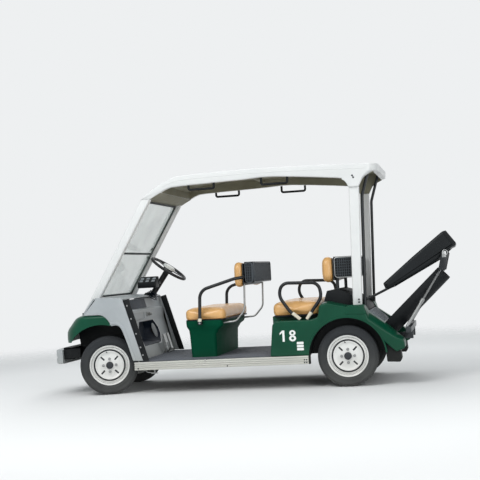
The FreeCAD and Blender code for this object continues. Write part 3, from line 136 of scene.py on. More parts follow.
@dataclass(frozen=True)
class Finish:
    """One material, from what it is and how its surface was made."""

    name: str
    colour: str
    shade: str
    roughness: float
    metallic: float = 0.0
    ior: float = 1.5
    coat: float = 0.0
    grain: Grain = Grain.ORANGE_PEEL
    grain_mm: float = 3.0
    depth_mm: float = 0.02
    cloud_mm: float = 260.0
    cloud: float = 0.35
    dust: str = "#8b8674"
    dust_mm: float = 0.0
    wear: str = ""
    sheen: float = 0.0
    specular: float = 0.5

    def build(self) -> bpy.types.Material:
        """Makes the material, or returns it if it is made.

        Returns:
            The material.
        """
        if self.name in bpy.data.materials:
            return bpy.data.materials[self.name]
        material = bpy.data.materials.new(self.name)
        material.use_nodes = True
        tree = material.node_tree
        tree.nodes.clear()
        place = add_node(tree, "ShaderNodeTexCoord").outputs["Object"]
        clouds = add_node(tree, "ShaderNodeTexNoise", {
            "Vector": place, "Scale": 1000 / self.cloud_mm, "Detail": 5, "Roughness": 0.6})
        spread = add_node(tree, "ShaderNodeMapRange", {
            "Value": clouds.outputs["Fac"], "From Min": 0.38, "From Max": 0.68, "To Max": self.cloud})
        tints = {0: spread.outputs["Result"], 6: linear(self.colour), 7: linear(self.shade)}
        colour = add_node(tree, "ShaderNodeMix", tints, data_type="RGBA").outputs[2]
        rough = add_node(tree, "ShaderNodeMapRange", {
            "Value": clouds.outputs["Fac"], "From Min": 0.3, "From Max": 0.7,
            "To Min": max(0.02, self.roughness - 0.05),
            "To Max": min(1, self.roughness + 0.08)}).outputs["Result"]
        if self.wear:
            colour = self.worn(tree, colour)
        if self.dust_mm:
            colour, rough = self.dusty(tree, place, clouds.outputs["Fac"], colour, rough)
        bump = add_node(tree, "ShaderNodeBump", {
            "Height": self.surface(tree, place), "Strength": 0.6, "Distance": self.depth_mm * MM * 10})
        shader = add_node(tree, "ShaderNodeBsdfPrincipled", {
            "Base Color": colour, "Roughness": rough, "Metallic": self.metallic, "IOR": self.ior,
            "Coat Weight": self.coat, "Coat Roughness": 0.08, "Normal": bump.outputs["Normal"],
            "Sheen Weight": self.sheen, "Sheen Roughness": 0.4, "Specular IOR Level": self.specular})
        add_node(tree, "ShaderNodeOutputMaterial", {"Surface": shader.outputs["BSDF"]})
        return material

    def surface(self, tree: Tree, place: Socket) -> Socket:
        """Height of the fine texture.

        Args:
            tree: The material's tree.
            place: Object coordinates.

        Returns:
            The height socket.
        """
        scale = 1000 / self.grain_mm
        if self.grain is Grain.BRUSHED:
            along = add_node(tree, "ShaderNodeMapping", {"Vector": place, "Scale": (0.04, 1, 1)}).outputs[0]
            lines = add_node(tree, "ShaderNodeTexNoise", {"Vector": along, "Scale": scale, "Detail": 3})
            return lines.outputs["Fac"]
        if self.grain in (Grain.PEBBLE, Grain.HIDE):
            cells = add_node(tree, "ShaderNodeTexVoronoi", {
                "Vector": place, "Scale": scale, "Smoothness": 0.6}, feature="SMOOTH_F1")
            if self.grain is Grain.PEBBLE:
                return cells.outputs["Distance"]
            folds = add_node(tree, "ShaderNodeTexNoise", {"Vector": place, "Scale": 26, "Detail": 3})
            return add_node(tree, "ShaderNodeMath", {
                0: folds.outputs["Fac"], 1: 3.5, 2: cells.outputs["Distance"]},
                operation="MULTIPLY_ADD").outputs[0]
        peel = add_node(tree, "ShaderNodeTexNoise", {"Vector": place, "Scale": scale, "Detail": 2})
        return peel.outputs["Fac"]

    def worn(self, tree: Tree, colour: Socket) -> Socket:
        """Paler edges, where hands and shoes rub.

        Args:
            tree: The material's tree.
            colour: The colour so far.

        Returns:
            The colour with its edges worn.
        """
        point = add_node(tree, "ShaderNodeNewGeometry").outputs["Pointiness"]
        edge = add_node(tree, "ShaderNodeMapRange", {
            "Value": point, "From Min": 0.53, "From Max": 0.62, "To Min": 0, "To Max": 0.45})
        return add_node(tree, "ShaderNodeMix", {
            0: edge.outputs["Result"], 6: colour, 7: linear(self.wear)}, data_type="RGBA").outputs[2]

    def dusty(
        self, tree: Tree, place: Socket, cloud: Socket,
        colour: Socket, rough: Socket,
    ) -> tuple[Socket, Socket]:
        """Road dust that thickens towards the ground.

        Args:
            tree: The material's tree.
            place: Object coordinates.
            cloud: The cloudy pattern, which breaks the dust up.
            colour: The colour so far.
            rough: The roughness so far.

        Returns:
            The dusty colour and roughness.
        """
        height = add_node(tree, "ShaderNodeSeparateXYZ", {0: place}).outputs["Z"]
        low = add_node(tree, "ShaderNodeMapRange", {
            "Value": height, "From Min": self.dust_mm * MM, "From Max": 0, "To Min": 0, "To Max": 1})
        share = add_node(tree, "ShaderNodeMath", {
            0: low.outputs["Result"], 1: cloud}, operation="MULTIPLY", use_clamp=True)
        colour = add_node(tree, "ShaderNodeMix", {
            0: share.outputs[0], 6: colour, 7: linear(self.dust)}, data_type="RGBA").outputs[2]
        rough = add_node(tree, "ShaderNodeMix", {
            0: share.outputs[0], 2: rough, 3: 0.85}, data_type="FLOAT").outputs[0]
        return colour, rough


@dataclass(frozen=True)
class ClearSheet:
    """Polycarbonate windscreen sheet: clear, faintly green and hazed by cleaning."""

    name: str = "polycarbonate_sheet"
    tint: str = "#a9bdb6"
    roughness: float = 0.03

    def build(self) -> bpy.types.Material:
        """Makes the material: mostly see-through, with the sheen of its faces.

        Returns:
            The material.
        """
        if self.name in bpy.data.materials:
            return bpy.data.materials[self.name]
        material = bpy.data.materials.new(self.name)
        material.use_nodes = True
        tree = material.node_tree
        tree.nodes.clear()
        place = add_node(tree, "ShaderNodeTexCoord").outputs["Object"]
        haze = add_node(tree, "ShaderNodeTexNoise", {"Vector": place, "Scale": 6, "Detail": 4})
        alpha = add_node(tree, "ShaderNodeMapRange", {
            "Value": haze.outputs["Fac"], "From Min": 0.3, "From Max": 0.7, "To Min": 0.27, "To Max": 0.34})
        shader = add_node(tree, "ShaderNodeBsdfPrincipled", {
            "Base Color": linear(self.tint), "Roughness": self.roughness, "IOR": 1.58,
            "Alpha": alpha.outputs["Result"]})
        add_node(tree, "ShaderNodeOutputMaterial", {"Surface": shader.outputs["BSDF"]})
        material.surface_render_method = "BLENDED"
        return material


Surface = Finish | ClearSheet

# The real pebble, peel and brush marks are finer: they are drawn coarse enough to show.
# Deep gloss with soft clouds of polish, and dust low down.
GREEN = Finish("moulded_green_gelcoat", "#003e2a", "#004b35", 0.34, grain_mm=6, depth_mm=0.004,
               dust_mm=360, dust="#3f5f4b", cloud=0.5, specular=0.2, coat=0.08)
# The same green, pebbled, so that it stays dark where the floor would shine in it.
SATIN = Finish("satin_green_moulding", "#003e2a", "#004b35", 0.6, grain=Grain.PEBBLE, grain_mm=1.6,
               depth_mm=0.02, dust_mm=360, dust="#3f5f4b", cloud=0.5, specular=0.06)
# Mid grey with a dull shine, browner towards the ground.
GREY = Finish("moulded_grey_abs", "#9da3a6", "#b3b8ba", 0.42, grain=Grain.PEBBLE, grain_mm=1.6,
              depth_mm=0.02, dust_mm=520, cloud=0.5)
# Smooth white with a faint skin of shine and a little greying.
WHITE = Finish("moulded_white_asa", "#dcdedd", "#cfd2d1", 0.36, coat=0.15, grain_mm=6, depth_mm=0.006,
               cloud=0.45)
# Nearly black, pebbled, greyed by dust in its low parts.
BLACK = Finish("moulded_black_polyethylene", "#0a0e10", "#15191c", 0.5, grain=Grain.PEBBLE, grain_mm=1.2,
               depth_mm=0.03, dust_mm=400, dust="#3b3b36", cloud=0.6, specular=0.2)
# Blue-black moulding, darkened past its own colour as painted shade, which sets hollows off from the grey
# round them.
NAVY_PAINTED_SHADE = Finish("moulded_navy_liner", "#141e2b", "#212e3d", 0.46, grain=Grain.PEBBLE, grain_mm=1.6,
              depth_mm=0.03, cloud=0.6, specular=0.3)
# Flat olive beige under the roof: the raw underside's duller tone, darkened and tinted as painted shade and
# a painted reflection of grass.
UNDERSIDE_PAINTED_SHADE = Finish("moulded_roof_lining", "#8a8876", "#787663", 0.6, grain=Grain.PEBBLE, grain_mm=2,
                depth_mm=0.03, cloud=0.6, specular=0.3)
# Black with a broad soft highlight along the hood.
COVER = Finish("moulded_black_hood", "#090e11", "#12181b", 0.4, grain=Grain.PEBBLE, grain_mm=1.4,
               depth_mm=0.03, cloud=0.6, specular=0.22)
# Thick black coat, rubbed grey at its edges.
POWDER = Finish("powder_coated_steel_tube", "#101417", "#1a1e22", 0.34, specular=0.35, grain_mm=1.4,
                depth_mm=0.02, wear="#4a4f52")
# Dark grey that draws the grid on the black baskets.
WIRE = Finish("coated_basket_wire", "#3d444a", "#4b5258", 0.35, grain_mm=0.8, depth_mm=0.02)
# Flat black under brown road dust.
CHASSIS = Finish("chassis_black_enamel", "#1c1d1e", "#2f2b27", 0.6, grain_mm=2.4, depth_mm=0.05,
                 dust_mm=620, dust="#6c6556", cloud=0.8)
# Pale metal brushed lengthwise, brightest where shoes rub its edges.
SILL = Finish("anodised_aluminium_extrusion", "#b9bab4", "#c9cac6", 0.3, metallic=0.65, grain=Grain.BRUSHED,
              grain_mm=1.2, depth_mm=0.01, dust_mm=270, wear="#e9e7dd")
# Scuffed grey rubber with dust between its ribs, its colour lifted a little as a painted reflection of the
# sky on its sheen.
MAT = Finish("ribbed_floor_rubber", "#454c54", "#5a626a", 0.5, grain=Grain.PEBBLE, grain_mm=1.6,
             depth_mm=0.05, cloud=0.8, dust_mm=560, dust="#666468")
# Matt black rubber, hardly lit at all.
SEAL = Finish("epdm_seal", "#22262a", "#2d3236", 0.6, grain_mm=1, depth_mm=0.02)
# Charcoal rubber, paler with dust towards the ground.
TYRE = Finish("turf_tyre_rubber", "#25282b", "#34373a", 0.74, grain=Grain.PEBBLE, grain_mm=1.4,
              depth_mm=0.06, dust_mm=420, dust="#5a5a56", cloud=0.8, specular=0.3)
# Silvery white with a soft shine.
RIM = Finish("silver_wheel_enamel", "#e0e1de", "#cfd0cd", 0.3, metallic=0.05, grain_mm=2, depth_mm=0.01,
             dust_mm=300, dust="#b3b0a8", cloud=0.5)
# Bright metal dulled in patches.
ZINC = Finish("zinc_plated_steel", "#a9abab", "#8b8c8a", 0.38, metallic=0.9, grain_mm=0.8, depth_mm=0.02,
              cloud=0.8)
# Dark scale with rusty patches.
STEEL = Finish("forged_steel_dark", "#3a3836", "#5a4a3d", 0.62, metallic=0.5, grain_mm=1.6, depth_mm=0.08,
               cloud=0.8)
# Tan with a fine hide grain, shallow folds and a light gloss.
VINYL = Finish("marine_vinyl_tan", "#d9aa6c", "#c6975c", 0.38, grain=Grain.HIDE, grain_mm=1.5,
               depth_mm=0.03, coat=0.3, cloud=0.55, cloud_mm=140)
# Darker tan that draws the pads' edges.
PIPING = Finish("vinyl_piping_tan", "#c59251", "#b07e40", 0.45, grain=Grain.PEBBLE, grain_mm=1)
# Soft black with a dull shine.
GRIP = Finish("polyurethane_grip", "#17191c", "#22262a", 0.55, grain=Grain.PEBBLE, grain_mm=1,
              depth_mm=0.04)
# Matt cream.
SLEEVE = Finish("cream_nylon_sleeve", "#d8d2bf", "#c5bfac", 0.5, grain_mm=1)
# Flat white that stands out from the green.
LABEL = Finish("white_vinyl_film", "#e8ebe8", "#d5dad7", 0.4, grain_mm=2)
# Pale grey and matt.
BUTTON = Finish("grey_silicone_key", "#9aa1a6", "#858c91", 0.6, grain_mm=0.8)
# Rough dark grey casting.
ENGINE = Finish("cast_power_unit", "#4a4d4f", "#5b5a55", 0.6, metallic=0.4, grain=Grain.PEBBLE, grain_mm=2,
                depth_mm=0.1)
# Blue-grey with a thin shine.
DECK = Finish("ribbed_deck_plastic", "#59646b", "#7d8a91", 0.38, grain_mm=2, depth_mm=0.02, coat=0.2)


# forms


def eased(points: Outline, steps: int = 4, sharp: Iterable[int] = ()) -> Line:
    """Runs a smooth line through outline points.

    Args:
        points: The points, in order, of an open line.
        steps: Points put on each run.
        sharp: Indexes of points that stay corners.

    Returns:
        The points of the smooth line.
    """
    hard = set(sharp) | {0, len(points) - 1}
    out: Line = []
    for i in range(len(points) - 1):
        p1, p2 = points[i], points[i + 1]
        p0 = p1 if i in hard else points[i - 1]
        p3 = p2 if i + 1 in hard else points[i + 2]
        for k in range(steps):
            t = k / steps
            out.append(tuple(
                0.5 * (2 * b + (c - a) * t + (2 * a - 5 * b + 4 * c - d) * t ** 2
                       + (3 * b - a - 3 * c + d) * t ** 3)
                for a, b, c, d in zip(p0, p1, p2, p3)))
    out.append(tuple(points[-1]))
    return out


def around(count: int) -> list[float]:
    """Angles of equal steps round a circle."""
    return [tau * k / count for k in range(count)]


def arc(centre: tuple[float, float], radius: float, start: float, end: float, steps: int = 8) -> Line:
    """Points on an arc, angles in degrees."""
    turn = [radians(start + (end - start) * k / steps) for k in range(steps + 1)]
    return [(centre[0] + radius * cos(a), centre[1] + radius * sin(a)) for a in turn]


def smooth_path(
    points: Sequence[Point], radius: float | Sequence[float], steps: int = 6, closed: bool = False
) -> list[Vector]:
    """Path through the points with each corner rounded.

    Args:
        points: Corners of the path.
        radius: Bend radius, or one for each point.
        steps: Points on each bend.
        closed: Whether the path runs round.

    Returns:
        The points of the bent path.
    """
    corners = [Vector(p) for p in points]
    radii = [radius] * len(corners) if isinstance(radius, (int, float)) else list(radius)
    last = len(corners) - 1
    out: list[Vector] = []
    for k, b in enumerate(corners):
        if not closed and k in (0, last):
            out.append(b)
            continue
        a, c = corners[k - 1], corners[(k + 1) % len(corners)]
        u, w = (a - b).normalized(), (c - b).normalized()
        half = max(0.001, u.angle(w) / 2)
        back = min(radii[k] / tan(half), (a - b).length * 0.49, (c - b).length * 0.49)
        if pi / 2 - half < 0.01 or back < 0.01:
            out += [b + (u if j < steps / 2 else w) * abs(1 - 2 * j / steps) * 0.5
                    for j in range(steps + 1)]
            continue
        bend = back * tan(half)
        middle = b + (u + w).normalized() * (bend / sin(half))
        start, end = (b + u * back - middle).normalized(), (b + w * back - middle).normalized()
        out += [middle + start.slerp(end, j / steps) * bend for j in range(steps + 1)]
    return out


def rounded(points: Sequence[tuple[float, float, float]], steps: int = 6) -> Line:
    """Closed outline from corners that each carry a radius."""
    path = smooth_path([(x, 0, z) for x, z, _ in points], [r for _, _, r in points], steps, closed=True)
    return [(p.x, p.z) for p in path]


def inset(outline: Outline, depth: float) -> Line:
    """Draws a closed outline in all round.

    Args:
        outline: The outline, either way round.
        depth: How far it is drawn in.

    Returns:
        The smaller outline, point for point.
    """
    points = [Vector(p) for p in outline]
    area = sum(a.x * b.y - b.x * a.y for a, b in zip(points, points[1:] + points[:1]))
    turn = 1 if area > 0 else -1
    out = []
    for k, point in enumerate(points):
        before = (point - points[k - 1]).normalized()
        after = (points[(k + 1) % len(points)] - point).normalized()
        n1, n2 = Vector((-before.y, before.x)) * turn, Vector((-after.y, after.x)) * turn
        out.append(tuple(point + (n1 + n2) * (depth / max(0.35, 1 + n1.dot(n2)))))
    return out


def level(line: Outline, x: float) -> float:
    """Height of a line at a station, the line running either way.

    Args:
        line: The line's points.
        x: The station.

    Returns:
        The height.
    """
    points = sorted(line)
    for (x0, z0), (x1, z1) in zip(points, points[1:]):
        if x0 <= x <= x1:
            return z0 + (z1 - z0) * ((x - x0) / (x1 - x0) if x1 > x0 else 0)
    return points[0][1] if x < points[0][0] else points[-1][1]


def across(half: list[list[Point]]) -> list[list[Point]]:
    """Rings of the left side, carried on by their mirror images."""
    return half + [[(x, -y, z) for x, y, z in ring] for ring in half[::-1]]


def evaluated(made: Piece) -> bpy.types.Mesh:
    """A new mesh of the object with its modifiers."""
    return bpy.data.meshes.new_from_object(made.evaluated_get(bpy.context.evaluated_depsgraph_get()))


def discard(*pieces: Piece) -> None:
    """Removes scratch objects with their meshes.

    Args:
        pieces: The objects.
    """
    for piece in pieces:
        spare = piece.data
        bpy.data.objects.remove(piece)
        bpy.data.meshes.remove(spare)


class Form:
    """A mesh being shaped, in millimetres."""

    def __init__(self, mesh: bmesh.types.BMesh | None = None) -> None:
        """Starts empty, or from a mesh."""
        self.mesh = mesh or bmesh.new()

    @classmethod
    def of_node(cls, node: str) -> "Form":
        """A merged copy of a solid of the frame, its flat faces whole again.

        Args:
            node: The solid's name.

        Returns:
            The copy's form.
        """
        mesh = bmesh.new()
        mesh.from_mesh(frame["nodes"][node].data)
        bmesh.ops.scale(mesh, vec=(1 / MM,) * 3, verts=mesh.verts)
        bmesh.ops.remove_doubles(mesh, verts=mesh.verts, dist=0.02)
        bmesh.ops.dissolve_limit(mesh, angle_limit=radians(1.2), verts=mesh.verts, edges=mesh.edges)
        return cls(mesh)

    @classmethod
    def of_object(cls, made: Piece) -> "Form":
        """An object's mesh with its modifiers, in millimetres.

        Args:
            made: The object.

        Returns:
            Its form.
        """
        mesh = evaluated(made)
        mesh.transform(Matrix.Scale(1 / MM, 4))
        form = cls()
        form.mesh.from_mesh(mesh)
        bpy.data.meshes.remove(mesh)
        return form

    def skin(self, rings: Sequence[Sequence[Point]], capped: bool = True, looped: bool = False) -> "Form":
        """Joins rings of equal length by faces.

        Args:
            rings: The rings, each a closed line of points.
            capped: Whether the first and last ring are closed by a face.
            looped: Whether the last ring joins the first.

        Returns:
            This form.
        """
        made = [[self.mesh.verts.new(p) for p in ring] for ring in rings]
        pairs = list(zip(made, made[1:])) + ([(made[-1], made[0])] if looped else [])
        for a, b in pairs:
            for k in range(len(a)):
                n = (k + 1) % len(a)
                self.mesh.faces.new((a[k], a[n], b[n], b[k]))
        if capped and not looped:
            self.mesh.faces.new(made[0][::-1])
            self.mesh.faces.new(made[-1])
        return self

    def slab(self, outline: Outline, y0: float, y1: float, rim: float = 0.0, steps: int = 4) -> "Form":
        """Outline in X and Z, carried across.

        Args:
            outline: The closed outline.
            y0: Where it starts.
            y1: Where it ends.
            rim: Radius of the rounding at both ends.
            steps: Faces across the rounding.

        Returns:
            This form.
        """
        if not rim:
            return self.skin([[(x, y, z) for x, z in outline] for y in (y0, y1)])
        turns = [pi / 2 * k / steps for k in range(steps + 1)]
        levels = [(rim * sin(a), rim * (1 - cos(a))) for a in turns]
        ends = [(y0 + rim - s, depth) for s, depth in levels[::-1]]
        ends += [(y1 - rim + s, depth) for s, depth in levels]
        return self.skin([[(x, y, z) for x, z in inset(outline, depth)] for y, depth in ends])

    def plate(self, outline: Outline, z0: float, z1: float) -> "Form":
        """Outline in X and Y, carried from z0 to z1."""
        return self.skin([[(x, y, z) for x, y in outline] for z in (z0, z1)])

    def block(self, low: Point, high: Point) -> "Form":
        """Box between two corners."""
        (a, b, c), (d, e, g) = low, high
        return self.plate([(a, b), (d, b), (d, e), (a, e)], c, g)

    def tube(self, path: Sequence[Vector | Point], radius: float | Sequence[float],
             sides: int = 16) -> "Form":
        """Round bar along a path.

        Args:
            path: The centre line.
            radius: Its radius, or one for each point.
            sides: Faces round the bar.

        Returns:
            This form.
        """
        line = [Vector(p) for p in path]
        radii = [radius] * len(line) if isinstance(radius, (int, float)) else list(radius)
        runs = [(b - a).normalized() for a, b in zip(line, line[1:])]
        tangents = [runs[0]] + [(a + b).normalized() for a, b in zip(runs, runs[1:])] + [runs[-1]]
        side = tangents[0].orthogonal().normalized()
        rings = []
        for centre, run, r in zip(line, tangents, radii):
            side = (side - run * side.dot(run)).normalized()
            up = run.cross(side)
            rings.append([tuple(centre + (side * cos(a) + up * sin(a)) * r) for a in around(sides)])
        return self.skin(rings)

    def turned(self, profile: Outline, steps: int = 64) -> "Form":
        """Closed profile of radius and Y, turned about the Y axis."""
        rings = [[(r * cos(a), y, r * sin(a)) for r, y in profile] for a in around(steps)]
        return self.skin(rings, looped=True)

    def add(self, other: "Form") -> "Form":
        """Takes another form's pieces in.

        Args:
            other: The form that is taken in.

        Returns:
            This form.
        """
        spare = bpy.data.meshes.new("spare")
        other.mesh.to_mesh(spare)
        self.mesh.from_mesh(spare)
        bpy.data.meshes.remove(spare)
        return self

    def copy(self) -> "Form":
        """A second form like this one."""
        return Form(self.mesh.copy())

    def moved(self, matrix: Matrix) -> "Form":
        """Moves the form, and keeps its faces outward if it is mirrored.

        Args:
            matrix: The move.

        Returns:
            This form.
        """
        bmesh.ops.transform(self.mesh, matrix=matrix, verts=self.mesh.verts)
        if matrix.determinant() < 0:
            bmesh.ops.reverse_faces(self.mesh, faces=self.mesh.faces)
        return self

    def both_sides(self) -> "Form":
        """Adds the mirror image across the middle."""
        return self.add(self.copy().moved(Matrix.Scale(-1, 4, (0, 1, 0))))

    def outward(self) -> "Form":
        """Turns every face outwards."""
        bmesh.ops.recalc_face_normals(self.mesh, faces=self.mesh.faces)
        return self

    def soften(self, width: float, steps: int = 3, angle: float = 30.0,
               where: Callable[[Vector], bool] | None = None) -> "Form":
        """Rounds the edges.

        Args:
            width: How far back the rounding reaches.
            steps: Faces across it.
            angle: Only edges sharper than this, in degrees.
            where: Says of an edge's middle whether it is rounded.

        Returns:
            This form.
        """
        self.outward()
        edges = [e for e in self.mesh.edges if len(e.link_faces) == 2
                 and e.calc_face_angle(0) > radians(angle)
                 and (where is None or where((e.verts[0].co + e.verts[1].co) / 2))]
        bmesh.ops.bevel(self.mesh, geom=edges, offset=width, offset_type="OFFSET", segments=steps,
                        profile=0.5, affect="EDGES", clamp_overlap=True)
        return self

    def object(self, name: str) -> Piece:
        """A plain object in metres, linked to the scene.

        Args:
            name: The object's name.

        Returns:
            The object.
        """
        data = bpy.data.meshes.new(name)
        self.mesh.to_mesh(data)
        data.transform(Matrix.Scale(MM, 4))
        made = bpy.data.objects.new(name, data)
        bpy.context.scene.collection.objects.link(made)
        return made

    def carved(self, *others: "Form", how: str = "DIFFERENCE") -> "Form":
        """Cuts other forms out of this one, or joins or keeps what they share.

        Args:
            others: The forms that cut.
            how: Blender's name of the operation.

        Returns:
            This form.
        """
        for other in others:
            target, tool = self.outward().object("target"), other.outward().object("tool")
            change = target.modifiers.new("carve", "BOOLEAN")
            change.operation, change.solver, change.object = how, "EXACT", tool
            self.mesh.free()
            self.mesh = Form.of_object(target).mesh
            discard(target, tool)
        return self

    def piece(self, name: str, finish: Surface, *nodes: str, body: str = "chassis", slot: str = "",
              smooth: float = 34.0, outward: bool = True) -> Piece:
        """Makes the finished piece and hands it to the frame.

        Args:
            name: The piece's name.
            finish: Its material.
            nodes: Solids of the frame that it stands for.
            body: The body that it rides on.
            slot: The record's material slot.
            smooth: Edges below this angle, in degrees, shade smooth.
            outward: Whether its faces are turned outwards first.

        Returns:
            The object.
        """
        if outward:
            self.outward()
        made = self.object(name)
        made.data.shade_smooth()
        made.data.set_sharp_from_angle(angle=radians(smooth))
        return place(made, finish, *nodes, body=body, slot=slot)


def place(made: Piece, finish: Surface, *nodes: str, body: str = "chassis", slot: str = "") -> Piece:
    """Gives an object its material and body, and hides the solids that it stands for.

    Args:
        made: The object.
        finish: Its material.
        nodes: The solids.
        body: The body that it rides on.
        slot: Not used.

    Returns:
        The object.
    """
    made.data.materials.clear()
    made.data.materials.append(finish.build())
    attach(made, body)
    if nodes:
        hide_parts(*nodes)
    log.info("%s: %d faces on %s", made.name, len(made.data.polygons), body)
    return made


def dress(finish: Surface, *nodes: str) -> None:
    """Gives solids of the frame a finish and keeps their shape.

    Args:
        finish: The material.
        nodes: The solids.
    """
    for node in nodes:
        data = frame["nodes"][node].data
        data.materials.clear()
        data.materials.append(finish.build())
        for face in data.polygons:
            face.material_index = 0


# repeats


class Repeats:
    """Geometry Nodes that copy a piece in rows and rings."""

    @staticmethod
    def tree() -> Tree:
        """Copies stepped and turned by their number, made real and given their material.

        Returns:
            The tree.
        """
        if "stepped_copies" in bpy.data.node_groups:
            return bpy.data.node_groups["stepped_copies"]
        tree = bpy.data.node_groups.new("stepped_copies", "GeometryNodeTree")
        for label, kind in (("Geometry", "Geometry"), ("Count", "Int"), ("Step", "Vector"),
                            ("Turn", "Vector"), ("Material", "Material")):
            tree.interface.new_socket(label, in_out="INPUT", socket_type="NodeSocket" + kind)
        tree.interface.new_socket("Geometry", in_out="OUTPUT", socket_type="NodeSocketGeometry")
        given = add_node(tree, "NodeGroupInput").outputs
        number = add_node(tree, "GeometryNodeInputIndex").outputs[0]
        shift, angle = (add_node(tree, "ShaderNodeVectorMath", {0: given[label], "Scale": number},
                                 operation="SCALE").outputs[0] for label in ("Step", "Turn"))
        points = add_node(tree, "GeometryNodePoints", {"Count": given["Count"], "Position": shift})
        copies = add_node(tree, "GeometryNodeInstanceOnPoints", {
            "Points": points.outputs[0], "Instance": given["Geometry"], "Rotation": angle})
        real = add_node(tree, "GeometryNodeRealizeInstances", {0: copies.outputs[0]})
        painted = add_node(tree, "GeometryNodeSetMaterial", {
            "Geometry": real.outputs[0], "Material": given["Material"]})
        add_node(tree, "NodeGroupOutput", {0: painted.outputs[0]})
        return tree

    @classmethod
    def row(cls, form: Form, count: int, step: Point = (0, 0, 0), turn: Point = (0, 0, 0),
            finish: Finish = ZINC) -> Form:
        """Copies of a form in a row or ring.

        Args:
            form: The piece at its first place.
            count: How many.
            step: Shift from each copy to the next, in millimetres.
            turn: Turn from each copy to the next, in degrees about X, Y and Z.
            finish: The material of the copies.

        Returns:
            All copies.
        """
        base = form.outward().object("copied")
        change = base.modifiers.new("copies", "NODES")
        change.node_group = cls.tree()
        values = {"Count": count, "Step": [s * MM for s in step], "Turn": [radians(t) for t in turn],
                  "Material": finish.build()}
        for item in change.node_group.interface.items_tree:
            if item.item_type == "SOCKET" and item.in_out == "INPUT" and item.name in values:
                change[item.identifier] = values[item.name]
        base.update_tag()
        copies = Form.of_object(base)
        discard(base)
        return copies


def bolt(across: float, height: float, washer: float, sides: int = 6) -> Form:
    """Hexagon head on its washer, standing on the origin along Y.

    Args:
        across: Head size across its corners.
        height: How far the head stands proud.
        washer: Washer radius.
        sides: Sides of the head.

    Returns:
        The bolt's form.
    """
    form = Form().turned([(0.4, -1), (washer, -1), (washer, 1), (washer - 0.8, 1.6), (0.4, 1.6)], 20)
    radius = across / 2
    levels = ((1.4, radius), (height - 1, radius), (height, radius * 0.86))
    rings = [[(r * cos(a), y, r * sin(a)) for a in around(sides)] for y, r in levels]
    return form.add(Form().skin(rings))


def aimed(form: Form, at: Point, direction: Point = (0, 1, 0)) -> Form:
    """Moves a form that stands along Y to a place and a direction."""
    turn = Vector((0, 1, 0)).rotation_difference(Vector(direction)).to_matrix().to_4x4()
    return form.moved(Matrix.Translation(Vector(at)) @ turn)


def drum(axle: float, radius: float, y0: float, y1: float) -> Form:
    """Cylinder round one of the axles, which cuts a wheel arch."""
    form = Form().turned([(0.5, y0), (radius, y0), (radius, y1), (0.5, y1)], 128)
    return form.moved(Matrix.Translation((axle, 0, WHEEL_Z)))


def side_bolts(places: Iterable[Point], across: float, height: float, washer: float) -> Form:
    """Bolts that stand out of the cart's left side, and the same on its right side.

    Args:
        places: Where they stand on the left side.
        across: Head size across its corners.
        height: How far the heads stand proud.
        washer: Washer radius.

    Returns:
        All bolts.
    """
    form = Form()
    for side in (1, -1):
        for x, y, z in places:
            form.add(aimed(bolt(across, height, washer), (x, side * y, z), (0, side, 0)))
    return form


# wheels


